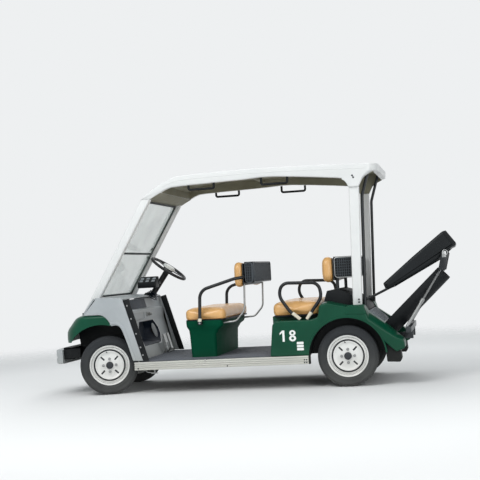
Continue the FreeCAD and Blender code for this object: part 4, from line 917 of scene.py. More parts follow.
@dataclass
class Wheel:
    """One wheel: a turf tyre with its tread on a pressed steel rim."""

    corner: str
    side: float
    radius: float = 250.0
    half_width: float = 75.0
    tread_depth: float = 5.5
    lug_count: int = 54
    flange: float = 169.0
    bead: float = 153.0
    nut_circle: float = 54.0
    groove: float = 136.0

    def matrix(self) -> Matrix:
        """Where the wheel stands, from its joint.

        Returns:
            The place, which also mirrors a right wheel.
        """
        joint = joint_of("wheel_" + self.corner)
        axis = Vector(joint["axis"])
        turn = Matrix.Rotation(atan2(-axis.x, axis.y), 4, "Z")
        spot = Matrix.Translation(Vector(joint["pos_m"]) / MM)
        return spot @ turn @ Matrix.Scale(self.side, 4, (0, 1, 0))

    def tyre(self) -> Form:
        """Carcass with its crown, shoulders and sidewall rings.

        Returns:
            The tyre without its tread.
        """
        w, base = self.half_width, self.radius - self.tread_depth
        side = [(self.bead + 1, w - 20), (self.flange + 3, w - 10.5), (self.flange + 9, w - 4.5),
                (188, w - 1.2), (191, w + 0.2), (194, w - 0.7), (208, w), (222, w - 1.6), (225, w - 1),
                (228, w - 3.2), (236, w - 8), (base - 2.2, w - 16), (base - 0.6, w - 26), (base, 24)]
        return Form().turned(side + [(base + 0.3, 0)] + [(x, -y) for x, y in reversed(side)], 96)

    def tread(self) -> Form:
        """Staggered lugs in rings, and shoulder teeth that show from the side.

        Returns:
            All lugs and teeth.
        """
        form, w = Form(), self.half_width
        pitch = 360 / self.lug_count
        for y, half, phase in ((-50, 13, 0), (-25, 11, 0.5), (0, 11, 0), (25, 11, 0.5), (50, 13, 0)):
            top = self.radius - 0.2 - abs(y) ** 2 * 0.0012
            foot = self.radius - self.tread_depth - 3 - abs(y) ** 2 * 0.0012
            rings = []
            for r, grow in ((foot, 1.5), (top - 1.2, 0), (top, -1.2)):
                rings.append([(r, y - half - grow, -8.5 - grow), (r, y + half + grow, -10.5 - grow),
                              (r, y + half + grow, 8.5 + grow), (r, y - half - grow, 10.5 + grow)])
            lug = Form().skin(rings).moved(Matrix.Rotation(radians(pitch * phase), 4, "Y"))
            form.add(Repeats.row(lug, self.lug_count, turn=(0, pitch, 0), finish=TYRE))
        for side in (1, -1):
            tooth = Form().skin([[(247.2, side * 56, z * 0.8), (244.5, side * (w - 10.5), z),
                                  (226, side * (w - 1.2), z * 0.75), (224, side * (w - 6), z * 0.75),
                                  (238, side * 56, z * 0.8)] for z in (-9, 9)])
            tooth.moved(Matrix.Rotation(radians(pitch * 0.5), 4, "Y"))
            form.add(Repeats.row(tooth, self.lug_count, turn=(0, pitch, 0), finish=TYRE))
        return form

    def rim(self) -> Form:
        """Barrel, flanges and a dished disc with four slots.

        Returns:
            The rim.
        """
        w = self.half_width
        bead, flange, groove = self.bead, self.flange, self.groove
        barrel = [(bead, -w + 22), (bead + 4, -w + 20), (flange - 2, -w + 14), (flange, -w + 11),
                  (flange - 2, -w + 9), (flange - 6, -w + 9.5), (bead - 4, -w + 17), (bead - 9, -w + 22),
                  (groove + 8, -w + 30), (groove + 4, 10), (groove, 34), (groove + 1, 51), (groove + 3, 53),
                  (groove + 6, 52), (bead - 8, 45), (bead - 4, 44.5), (bead - 1, 48), (bead + 3, 57),
                  (flange - 10, w - 13), (flange - 5, w - 9.5), (flange, w - 8), (flange + 1.5, w - 10),
                  (flange, w - 13.5), (bead + 5, w - 21), (bead, w - 23)]
        form = Form().turned(barrel, 96)
        edge = groove - 15
        face = [(20, 49), (34, 49), (42, 47), (66, 46), (80, 43.5), (96, 42), (108, 44.5), (edge - 7, 50),
                (edge - 2, 51), (edge + 1, 48.5), (edge + 2, 42), (edge + 2, 22), (groove + 2, 20)]
        back = [(x, y - 4) for x, y in reversed(face)]
        disc = Form().turned(face + back, 96)
        slot = Form().block((61, 20, -7), (104, 70, 7)).soften(4, 3, where=lambda p: True)
        slot.moved(Matrix.Rotation(radians(45), 4, "Y"))
        disc.carved(Repeats.row(slot, 4, turn=(0, 90, 0)))
        return form.add(disc)

    def hardware(self) -> Form:
        """Four nuts on their studs.

        Returns:
            Nuts and studs.
        """
        nut = aimed(bolt(20, 13, 12), (self.nut_circle, 46.5, 0))
        stud = Form().tube([(self.nut_circle, y, 0) for y in (55, 62.5, 63.5)], [5.4, 5.4, 4.2], 12)
        return Repeats.row(nut, 4, turn=(0, 90, 0)).add(Repeats.row(stud, 4, turn=(0, 90, 0)))

    def cap(self) -> Form:
        """Pressed dust cap over the hub, and the tyre's valve.

        Returns:
            Cap and valve.
        """
        dome = [(0.3, 40), (31, 40), (31, 58), (30, 61.5), (27, 64), (16, 65.4), (0.3, 65.8)]
        valve = Form().tube([(112, 46, 0), (113, 50, 0), (117, 60, 0), (118, 64, 0)], [5.5, 5, 4, 3.6], 12)
        return Form().turned(dome, 40).add(valve.moved(Matrix.Rotation(radians(-80), 4, "Y")))

    def painted_shade_plate(self) -> Form:
        """Dark plate behind the disc: painted shade seen through its slots and in the groove round it."""
        edge = self.groove - 2
        return Form().turned([(44, 29), (edge, 29), (edge, 34), (edge - 8, 36), (44, 33)], 64)

    def build(self) -> None:
        """Makes the wheel's pieces on its body."""
        tyre, rim = self.tyre().outward().add(self.tread()), self.rim().outward()
        parts = (("turf_tyre_", tyre, TYRE, ["tyre_" + self.corner], "tyre_rubber"),
                 ("pressed_rim_", rim, RIM, ["rim_" + self.corner], "rim_paint"),
                 ("wheel_nuts_", self.hardware().outward(), ZINC, [], ""),
                 # painted shade: a dark plate behind the disc darkens the groove and the slots
                 ("painted_shade_disc_", self.painted_shade_plate().outward(), SEAL, [], ""),
                 ("hub_cap_", self.cap().outward(), SEAL, [], ""))
        for name, form, finish, nodes, slot in parts:
            form.moved(self.matrix()).piece(name + self.corner, finish, *nodes, body="wheel_" + self.corner,
                                            slot=slot, outward=False)


# front body


@dataclass
class FrontBody:
    """Bumper, green nose, grey cowl with its bands and strips, dash board and leg pocket."""

    nose_front: float = 440.0
    root: float = 60.0
    nose_top: float = 682.0
    nose_low: float = 456.0
    corner: float = 200.0
    arch_radius: float = 350.0
    wall: float = 6.0
    shoulder: float = 30.0
    brow: Outline = ((426, 405), (456, 409), (500, 414), (546, 410), (575, 392), (600, 366),
                     (642, 326), (665, 294), (678, 264), (682, 240))
    seam: tuple[tuple[float, float], ...] = ((14, 684), (-18, 678), (-48, 658), (-74, 628), (-98, 585))

    def plan(self, front: float, depth: float) -> Line:
        """Plan outline of the nose at one height.

        Args:
            front: Foremost station, ahead of the front axle.
            depth: How far the outline lies inside the widest one.

        Returns:
            The outline, from the left rear round to the right rear.
        """
        side, nose, radius = HALF - depth, front - depth, self.corner - depth
        half = [(ahead(-98), side)]
        half += arc((ahead(nose - 60 - radius), side - radius), radius, 90, 0, 10)
        half += eased([(ahead(nose - 60), side - radius - 8), (ahead(nose - 22), 200),
                       (ahead(nose - 4), 90), (ahead(nose), 0)], 4)[1:]
        return half + [(x, -y) for x, y in reversed(half[:-1])]

    def shell(self, gap: float) -> Form:
        """Solid bounded by the nose's skin, drawn in by a gap.

        Args:
            gap: How far it is drawn in.

        Returns:
            The solid.
        """
        r = self.shoulder
        levels = [(self.nose_low - (30 if gap else 0), 0)]
        levels += [(z, 0) for z in (490, 520, 545, 560, 575, 590, 605, 620, 635)]
        turns = [radians(a) for a in (0, 15, 30, 45, 60, 75, 90)]
        levels += [(self.nose_top - r + r * sin(a), r * (1 - cos(a))) for a in turns]
        rings = []
        for z, round_in in levels:
            scale = (level(self.brow, z) - self.root) / (self.nose_front - self.root)
            root = ahead(self.root)
            rings.append([(root + (x - root) * scale if x > root else x, y, z - gap if z > 600 else z)
                          for x, y in self.plan(self.nose_front, round_in + gap)])
        return Form().skin(rings)

    def nose(self) -> Form:
        """Green nose, hollow, with its wheel arches and the cowl's place cut out.

        Returns:
            The nose.
        """
        arch = drum(FRONT_AXLE, self.arch_radius, -700, 700)
        room = Form().block((ahead(-120), -526, 600), (ahead(150), 526, 700))
        seam = [(ahead(x), z) for x, z in eased(self.seam, 4)]
        trim = Form().slab(seam + [(ahead(-200), 585), (ahead(-200), 700), (ahead(14), 700)], -700, 700)
        return self.shell(0).carved(self.shell(self.wall), room, arch, trim)

    def cheek_line(self) -> Line:
        """Side outline of the cowl, from the nose's top back and down to the floor.

        Returns:
            The outline.
        """
        top = eased([(182, 684), (128, 752), (84, 806), (60, 822), (36, 829), (-90, 824),
                     (-176, 818), (-198, 812), (-211, 795), (-364, 282)], 3, sharp=(8,))
        low = [(-280, 282), (-238, 412), (-200, 520), (-174, 572), (-140, 590), (-98, 585)]
        return [(ahead(x), z) for x, z in top + eased(low, 4, sharp=(0,)) + eased(self.seam[::-1], 4)[1:]]

    def cowl(self) -> Form:
        """Grey cowl: cheeks that end behind the pillars, sloping front and dash top in one shell.

        Returns:
            The cowl.
        """
        y, rim = HALF - 2, 6
        full = self.cheek_line()
        short = [(min(x, ahead(147 - max(0, z - 684) * 0.87)), z) for x, z in full]
        turns = [radians(22.5 * k) for k in range(5)]
        half = [[(x, y - rim + rim * sin(a), z) for x, z in inset(short, rim * (1 - cos(a)))]
                for a in turns[::-1]]
        half += [[(x, 541, z) for x, z in short], [(x, 538, z) for x, z in full]]
        outer = Form().skin(across(half))
        room = [(152, 640), (158, 690), (68, 808), (38, 822), (-420, 790), (-420, 200),
                (-98, 200), (-98, 640)]
        return outer.carved(Form().slab([(ahead(x), z) for x, z in room], -y + 12, y - 12))

    def liners(self) -> Form:
        """Black inner walls of the front wheel arches.

        Returns:
            Both walls.
        """
        outline = rounded([(ahead(-128), 300, 10), (ahead(300), 300, 30), (ahead(330), 560, 60),
                           (ahead(250), 636, 40), (ahead(-90), 650, 20), (ahead(-128), 600, 10)])
        return Form().slab(outline, 236, 240).both_sides()

    def arch_band(self) -> Form:
        """Raised band along the cowl's arch edge, and down to the floor.

        Returns:
            Both bands.
        """
        line = [(ahead(x), z) for x, z in eased([(-88, 594), (-128, 600), (-168, 586), (-196, 545),
                                                 (-232, 440), (-279, 284)], 6)]
        inner = []
        for k, (x, z) in enumerate(line):
            run = (Vector(line[min(len(line) - 1, k + 1)]) - Vector(line[max(0, k - 1)])).normalized()
            inner.append((x - abs(run.y) * 24, z + abs(run.x) * 24))
        return Form().slab(line + inner[::-1], HALF - 8, HALF + 3, 2.6, 3).both_sides()

    def bumper(self) -> Form:
        """Grey rubber-faced bumper, bowed in plan, with a groove along its face.

        Returns:
            The bumper.
        """
        rings = []
        profile = [(-112, 274), (-20, 272), (-6, 276), (0, 288), (0.5, 320), (-5, 326), (-5, 342),
                   (0.5, 348), (0, 384), (-6, 396), (-20, 400), (-112, 398)]
        for k in range(-14, 15):
            y, at_end = 500 * k / 14, abs(k) == 14
            face = ahead(500) - 50 * (y / 500) ** 2
            ring = []
            for x, z in profile:
                station = face + x - (10 if at_end and x > -60 else 0) if x > -100 else ahead(388)
                ring.append((station, y, z + ((6 if z < 336 else -6) if at_end else 0)))
            rings.append(ring)
        return Form().skin(rings)

    def beam_ends(self) -> Form:
        """Plates that close the beam behind the bumper."""
        outline = [(ahead(385), 314), (ahead(385), 396), (ahead(236), 404), (ahead(236), 322)]
        return Form().slab(outline, 452, 468, 5, 3).both_sides()

    def pocket_pad(self) -> Form:
        """Oval pad on the pocket's slanting far wall.

        Returns:
            The pad.
        """
        loop = [(20 * cos(a) + 20 * sin(a), 496 + 66 * sin(a)) for a in around(40)]
        spot = Matrix.Translation((1022, -236, 0)) @ Matrix.Rotation(radians(31.4), 4, "Z")
        return Form().slab(loop, -1, 5, 2.4, 3).moved(spot)

    def fasteners(self) -> Form:
        """Screws of the edge strips."""
        spots = ((-262, 752), (-293, 640), (-330, 512), (-362, 396), (-380, 330))
        return side_bolts([(ahead(x + 14), HALF - 2, z) for x, z in spots], 9, 4, 7)

    def build(self) -> None:
        """Makes the front body's pieces."""
        self.nose().piece("nose_shell", GREEN, "nose_panel", slot="green_gloss")
        self.cowl().piece("cowl_shell", GREY, "cowl", slot="grey_gloss")
        self.arch_band().piece("cowl_arch_bands", GREY, slot="grey_gloss")
        self.liners().piece("front_arch_liners", BLACK)
        self.bumper().piece("bumper_face", GREY, "front_bumper", slot="grey_gloss")
        strips = Form.of_node("cowl_edge_strips").soften(5, 3)
        strips.piece("cowl_strips", BLACK, "cowl_edge_strips", slot="black_plastic")
        beam = Form.of_node("bumper_beam").soften(2, 2).add(self.beam_ends())
        beam.piece("bumper_box_beam", BLACK, "bumper_beam", slot="black_plastic")
        self.fasteners().piece("cowl_screws", ZINC)
        board = Form.of_node("bulkhead").soften(4, 3, 40)
        board.piece("dash_and_toe_board", GREY, "bulkhead", slot="grey_gloss")
        pocket = Form.of_node("leg_pocket").soften(2.5, 2, 40)
        # The pocket's navy is a dark moulding with painted shade in its hollow.
        pocket.piece("leg_pocket_tray", NAVY_PAINTED_SHADE, "leg_pocket", slot="black_plastic")
        self.pocket_pad().piece("leg_pocket_pad", GREY)


def softened(
    name: str, finish: Surface, *nodes: str, slot: str, body: str = "chassis", width: float = 4.0,
    steps: int = 3, angle: float = 40.0, smooth: float = 34.0,
) -> Piece:
    """Rounds the edges of solids whose shape is otherwise right.

    Args:
        name: The piece's name.
        finish: Its material.
        nodes: The solids that it is made from and stands for.
        slot: The record's material slot.
        body: The body that it rides on.
        width: How far the rounding reaches, 0 for none.
        steps: Faces across the rounding.
        angle: Only edges sharper than this are rounded, in degrees.
        smooth: Edges below this angle shade smooth.

    Returns:
        The piece.
    """
    form = Form()
    for node in nodes:
        form.add(Form.of_node(node))
    if width:
        form.soften(width, steps, angle)
    return form.piece(name, finish, *nodes, body=body, slot=slot, smooth=smooth)


# dash and controls


@dataclass
class Dash:
    """What the dash carries: a tray, a dark sheet of painted shade in the shelf, the key switch and the
    lever.
    """

    face: float = -232.0
    tray: tuple[float, float, float, float] = (60, 440, 612, 688)

    def tray_box(self) -> Form:
        """Open tray in the passenger's side of the dash.

        Returns:
            The tray.
        """
        y0, y1, z0, z1 = self.tray
        box = Form().block((ahead(self.face - 6), y0, z0), (ahead(self.face + 2), y1, z1)).soften(3, 3)
        return box.carved(Form().block((ahead(self.face - 20), y0 + 12, z0 + 12),
                                       (ahead(self.face - 1), y1 - 12, z1 - 12)))

    def shelf_painted_shade(self) -> Form:
        """Dark sheet in the recess below the dash top: painted shade."""
        outline = [(ahead(-192), 792), (ahead(-212.5), 711), (ahead(-216), 711), (ahead(-195.5), 792)]
        return Form().slab(outline, -90, 360, 1.2, 2)

    def switches(self) -> Form:
        """Key switch with its key, and the direction lever.

        Returns:
            Both switches with key and lever.
        """
        form, x = Form(), ahead(self.face)
        for y, r in ((-90, 17), (-30, 21)):
            ring = Form().turned([(0.4, 0), (r, 0), (r, 5), (r - 3, 8), (r - 6, 7), (0.4, 6)], 28)
            form.add(aimed(ring, (x, y, 652), (-1, 0, 0)))
        key = Form().block((x - 30, -92, 640), (x - 5, -88, 664)).soften(1.5, 2)
        lever = Form().tube([(x - 5, -30, 652), (x - 34, -30, 662)], [5, 7], 14)
        return form.add(key).add(lever)

    def build(self) -> None:
        """Makes the dash's pieces."""
        self.tray_box().piece("dash_tray", GREY, slot="grey_gloss")
        # Painted shade: a dark sheet in the recess below the dash top.
        self.shelf_painted_shade().piece("dash_shelf_painted_shade", NAVY_PAINTED_SHADE)
        self.switches().piece("dash_switches", ZINC)


@dataclass
class Controls:
    """Steering wheel, column boot, control pod and pedals."""

    hub: Point = (FRONT_AXLE - 381, -300, 1051)
    rake: float = 54.0
    ring: float = 174.0
    grip: float = 13.6
    finger_bumps: int = 44

    def matrix(self) -> Matrix:
        """Turns a form that stands along Y so that it faces the driver.

        Returns:
            The turn and place.
        """
        a = radians(self.rake)
        up = Vector((-cos(a), 0, sin(a)))
        across = Vector((0, 1, 0))
        side = across.cross(up)
        return Matrix.Translation(Vector(self.hub)) @ Matrix((side, up, across)).transposed().to_4x4()

    def wheel(self) -> Form:
        """Moulded ring with finger bumps under it, three spokes and the boss.

        Returns:
            The steering wheel.
        """
        rings = []
        for a in around(self.finger_bumps * 4):
            out = Vector((cos(a), 0, sin(a)))
            wave = 0.5 + 0.5 * cos(a * self.finger_bumps)
            ring = []
            for b in around(16):
                r = self.grip - 1.6 * max(0, -sin(b)) ** 2 * wave
                ring.append(tuple(out * (self.ring + r * cos(b)) + Vector((0, r * sin(b), 0))))
            rings.append(ring)
        form = Form().skin(rings, looped=True)
        spoke = ((36, 19, 2, 6), (70, 16.5, -1, 5), (120, 14.5, -2, 4.6), (152, 15.5, 0, 5),
                 (170, 19, 0, 6))
        for turn in (90, 210, 330):
            a = radians(turn)
            out, side = Vector((cos(a), 0, sin(a))), Vector((-sin(a), 0, cos(a)))
            sections = []
            for reach, half, dip, thick in spoke:
                sections.append([tuple(out * reach + side * (half * cos(b))
                                       + Vector((0, dip + thick * sin(b), 0))) for b in around(20)])
            form.add(Form().skin(sections))
        boss = [(0.4, -14), (38, -14), (47, -9), (51, -2), (51.5, 4), (48, 10), (40, 14.5), (0.4, 16.5)]
        return form.add(Form().turned(boss, 48))

    def pod(self) -> Form:
        """Control pod with a sloping face for the keys, on its bracket.

        Returns:
            Pod and bracket.
        """
        outline = rounded([(215, 886, 8), (95, 886, 14), (95, 934, 14), (204, 990, 8), (215, 982, 6)])
        pod = Form().slab(outline, ahead(-308), ahead(-136), 7)
        pod.moved(Matrix.Rotation(radians(-90), 4, "Z"))
        bracket = Form().block((ahead(-312), -268, 916), (ahead(-280), -190, 946)).soften(4, 2)
        return pod.add(bracket)

    def keys(self) -> Form:
        """Two rows of keys on the pod's sloping face.

        Returns:
            Six keys.
        """
        slope = Matrix.Rotation(-atan2(56, 109), 4, "X")
        form = Form()
        for reach in (30, 76):
            at = Vector((ahead(-278), -95 - reach * 0.889, 934 + reach * 0.457))
            key = Form().block((-15, -15, -3), (15, 15, 4)).soften(3, 2)
            keys = Repeats.row(key.moved(slope), 3, (56, 0, 0), finish=BUTTON)
            form.add(keys.moved(Matrix.Translation(at)))
        return form

    def boot_rings(self) -> Form:
        """Bellows rings round the boot.

        Returns:
            Four rings.
        """
        a = radians(self.rake)
        run = Vector((cos(a), 0, -sin(a)))
        form = Form()
        for k in range(4):
            r = 28 + 7 * k
            ring = Form().turned([(r + 7, -4), (r + 15, 0), (r + 7, 4), (r, 0)], 40)
            form.add(aimed(ring, tuple(Vector(self.hub) + run * (262 + 15 * k)), tuple(-run)))
        return form

    def build(self) -> None:
        """Makes the controls' pieces."""
        spot = self.matrix()
        self.wheel().moved(spot).piece("steering_grip", GRIP, "steering_wheel", body="steering_wheel",
                                       slot="steering_rubber")
        badge = Form().turned([(0.4, 6), (66, 6), (66, 12), (56, 26), (48, 30), (0.4, 32)], 6)
        badge.moved(spot).piece("wheel_hub_patch", LABEL, body="steering_wheel")
        softened("column_tube", COVER, "steering_column", slot="black_plastic", width=0)
        # The boot's rings share the navy, with its painted shade at the column's foot.
        self.boot_rings().piece("column_boot", NAVY_PAINTED_SHADE)
        self.pod().piece("pod", COVER, "control_pod", slot="black_plastic")
        self.keys().piece("pod_keys", BUTTON)
        softened("pedal_set", ZINC, "pedals", slot="black_plastic", width=2.5)


# windscreen and roof


@dataclass
class Windscreen:
    """Two clear sheets in dark seals, with the catches of the folding upper one."""

    foot: Point = (FRONT_AXLE + 49.6, 0, 834)
    slope: Point = (-0.5167, 0, 0.8561)
    bar: float = 430.0

    def catches(self) -> Form:
        """Round catches above and below the middle bar.

        Returns:
            Four catches.
        """
        out = Vector((self.slope[2], 0, -self.slope[0]))
        form = Form()
        for y in (-440, 440):
            for reach in (self.bar - 40, self.bar + 46):
                at = Vector(self.foot) + Vector(self.slope) * reach + out * 8 + Vector((0, y, 0))
                button = Form().turned([(0.4, -8), (13, -8), (13, 2), (11, 5), (0.4, 6)], 20)
                form.add(aimed(button, tuple(at), tuple(out)))
        return form

    def build(self) -> None:
        """Makes the windscreen's pieces."""
        dress(ClearSheet(), "windscreen_panes")
        softened("screen_seals", SEAL, "windscreen_seals", slot="mat_rubber", width=3.5)
        self.catches().piece("screen_catches", BLACK)


@dataclass
class RoofSet:
    """Moulded roof on its posts, with stays and hand grips."""

    half: float = 540.0
    band: float = 34.0
    skin: float = 10.0
    rim: float = 8.0
    tail_corner: float = 96.0
    top: Outline = tuple((ahead(x), z) for x, z in (
        (-398, 1645), (-442, 1684), (-500, 1724), (-575, 1769), (-660, 1805), (-770, 1828),
        (-1275, 1842))) + tuple((aft(x), z) for x, z in ((540, 1839), (100, 1828), (-330, 1811)))
    under: Outline = tuple((aft(x), z) for x, z in (
        (-330, 1811), (-327, 1756), (-262, 1730), (-203, 1692), (-168, 1630), (-84, 1630),
        (-62, 1672), (-30, 1697), (20, 1714), (540, 1762))) + tuple(
        (ahead(x), z) for x, z in ((-1275, 1754), (-740, 1738), (-640, 1724), (-580, 1697), (-482, 1645)))

    def outline(self) -> Line:
        """Side outline of the moulding with its legs."""
        return eased(self.top, 3) + eased(self.under[1:5], 3) + eased(self.under[5:], 3)

    def hollow(self, gap: float = 0.0, low: float = 1500.0) -> Line:
        """Side outline of the hollow under the skin.

        Args:
            gap: How far it is drawn in from the skin.
            low: Height of its open underside.

        Returns:
            The outline.
        """
        start, end = ahead(-572) - gap, aft(-292) + gap
        lid = [(x, z - self.skin - gap) for x, z in eased(self.top, 3) if end < x < start]
        return [(start, low), (start, lid[0][1])] + lid + [(end, lid[-1][1]), (end, low)]

    def shell(self) -> Form:
        """Roof moulding: skin with deep side bands, open below.

        Returns:
            The moulding.
        """
        outline, rim = self.outline(), self.rim
        turns = [radians(22.5 * k) for k in range(5)]
        half = [self.section(outline, self.half - rim + rim * sin(a), rim * (1 - cos(a)))
                for a in turns[::-1]]
        half += [self.section(outline, y, 0) for y in (516, 500, 484, 466, 444)]
        outer = Form().skin(across(half))
        y = self.half - self.band
        return outer.carved(Form().slab(self.hollow(), -y, y))

    def painted_shade_sheet(self) -> Form:
        """Thin dark sheet on the moulding's hollow side, trimmed to the side bands, that paints the shade
        under the roof.
        """
        y = self.half - self.band + 0.5
        skin = Form().slab(self.hollow(-0.5), -y, y)
        skin.carved(Form().slab(self.hollow(2, 1400), 2.5 - y, y - 2.5))
        skin.carved(Form().slab(inset(self.outline(), 3), -y - 5, y + 5), how="INTERSECT")
        legs, end = eased(self.under[5:], 3), ahead(-573)
        line = [(ahead(-404), 1645)] + [p for p in legs[::-1] if p[0] > end + 2]
        line.append((end, level(legs, end)))
        return skin.add(Form().slab(line + [(x - 1, z - 2) for x, z in line[::-1]], -528, 528))

    def section(self, outline: Outline, y: float, depth: float) -> list[Point]:
        """Roof outline at one distance from the middle, with the tail's corners rounded in plan.

        Args:
            outline: The side outline.
            y: The distance.
            depth: How far the outline is drawn in.

        Returns:
            The ring's points.
        """
        radius = self.tail_corner
        reach = max(0, y - (self.half - radius))
        pull = radius - sqrt(max(0, radius ** 2 - reach ** 2))
        start, tail = aft(-190), aft(-330)
        return [(x + max(0, pull * (start - x) / (start - tail)), y, z) for x, z in inset(outline, depth)]

    def ribs(self) -> Form:
        """Cross ribs under the skin.

        Returns:
            Three ribs.
        """
        form, y = Form(), self.half - self.band + 2
        for x in (ahead(-640), ahead(-1275), aft(180)):
            high = level(eased(self.top, 3), x) - self.skin + 2
            rib = [(x - 22, high), (x + 22, high), (x + 14, high - 26), (x - 14, high - 26)]
            form.add(Form().slab(rib, -y, y))
        return form

    def grooves(self) -> Form:
        """Drip rails along both side bands."""
        line = [(x, self.half - 1, z - 40) for x, z in eased(self.top, 3) if aft(-300) < x < ahead(-600)]
        return Form().tube(line, 3.2, 10).both_sides()

    def screws(self) -> Form:
        """Screws at the feet and heads of the posts.

        Returns:
            All screws.
        """
        feet = [(aft(-116), 536.5, 684), (aft(-116), 536.5, 706)]
        heads = [(aft(-120), 539.5, 1722), (aft(-128), 539.5, 1706)]
        front = [(ahead(168), 537, 700), (ahead(120), 537, 700)]
        return side_bolts(feet + heads + front, 11, 4, 8)

    def build(self) -> None:
        """Makes the roof's pieces."""
        self.shell().piece("roof_moulding", WHITE, "roof", slot="white_gloss")
        # Painted shade: the sheet and the ribs under the roof take the dark olive colour.
        self.painted_shade_sheet().piece("roof_painted_shade_sheet", UNDERSIDE_PAINTED_SHADE)
        self.ribs().piece("roof_ribs", UNDERSIDE_PAINTED_SHADE)
        self.grooves().piece("roof_drip_rails", WHITE, slot="white_gloss")
        softened("posts", WHITE, "roof_posts", slot="white_gloss", width=8, angle=50)
        softened("stays_of_roof", POWDER, "roof_stays", slot="black_paint", width=0, smooth=50)
        softened("hand_grips", BLACK, "grab_handles", slot="black_plastic", width=0, smooth=50)
        self.screws().piece("post_screws", SEAL)


# floor and sills


@dataclass
class FloorAndSills:
    """Extruded sills with their end caps, the floor deck and its ribbed mat."""

    rib_pitch: float = 24.0
    rib_count: int = 45

    def mat_ribs(self) -> Form:
        """Ribs of the mat, running front to back.

        Returns:
            All ribs.
        """
        low, high = (Vector(c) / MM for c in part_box("floor_mat"))
        y = -self.rib_pitch * (self.rib_count - 1) / 2
        rib = Form().slab([(low.x + 8, high.z - 1), (high.x - 8, high.z - 1), (high.x - 11, high.z + 2.4),
                           (low.x + 11, high.z + 2.4)], y - 4, y + 4).soften(1.2, 2)
        return Repeats.row(rib, self.rib_count, (0, self.rib_pitch, 0), finish=MAT)

    def caps(self) -> Form:
        """Plastic caps on the sills' ends.

        Returns:
            Four caps.
        """
        low, high = (Vector(c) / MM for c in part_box("sills"))
        form = Form()
        for x0, x1 in ((low.x - 5, low.x + 10), (high.x - 10, high.x + 5)):
            cap = Form().block((x0, HALF - 41, low.z - 1), (x1, HALF + 1.5, high.z + 1.5))
            form.add(cap.soften(3, 3))
        return form.both_sides()

    def screws(self) -> Form:
        """Screws along both sills.

        Returns:
            All screws.
        """
        low, high = (Vector(c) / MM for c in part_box("sills"))
        spots = [(x, HALF, z) for x in (low.x + 26, low.x + 44) for z in (low.z + 14, low.z + 36)]
        spots += [(high.x - 40, HALF, low.z + 14), ((low.x + high.x) / 2 - 60, HALF, low.z + 10)]
        return side_bolts(spots, 9, 2.4, 6)

    def hangers(self) -> Form:
        """Brake cable guide and its rod under the front of each sill.

        Returns:
            Guides and rods of both sides.
        """
        form = Form().block((ahead(-452), 540, 172), (ahead(-448), 572, 204))
        form.add(Form().block((ahead(-476), 536, 168), (ahead(-424), 576, 173)).soften(2, 2))
        rod = [(ahead(-360), 556, 206), (ahead(-386), 556, 180), (ahead(-440), 556, 176)]
        return form.add(Form().tube(smooth_path(rod, 20), 4, 12)).both_sides()

    def build(self) -> None:
        """Makes the floor's pieces."""
        self.hangers().piece("sill_hangers", ZINC)
        softened("sill_extrusions", SILL, "sills", slot="sill_aluminium", width=1.6, steps=2)
        softened("mat_sheet", MAT, "floor_mat", slot="mat_rubber", width=2)
        self.mat_ribs().piece("mat_ribs", MAT)
        self.caps().piece("sill_caps", BLACK)
        self.screws().piece("sill_screws", SEAL)
        softened("deck_of_floor", CHASSIS, "floor_deck", slot="deck_grey", width=2)


# seats


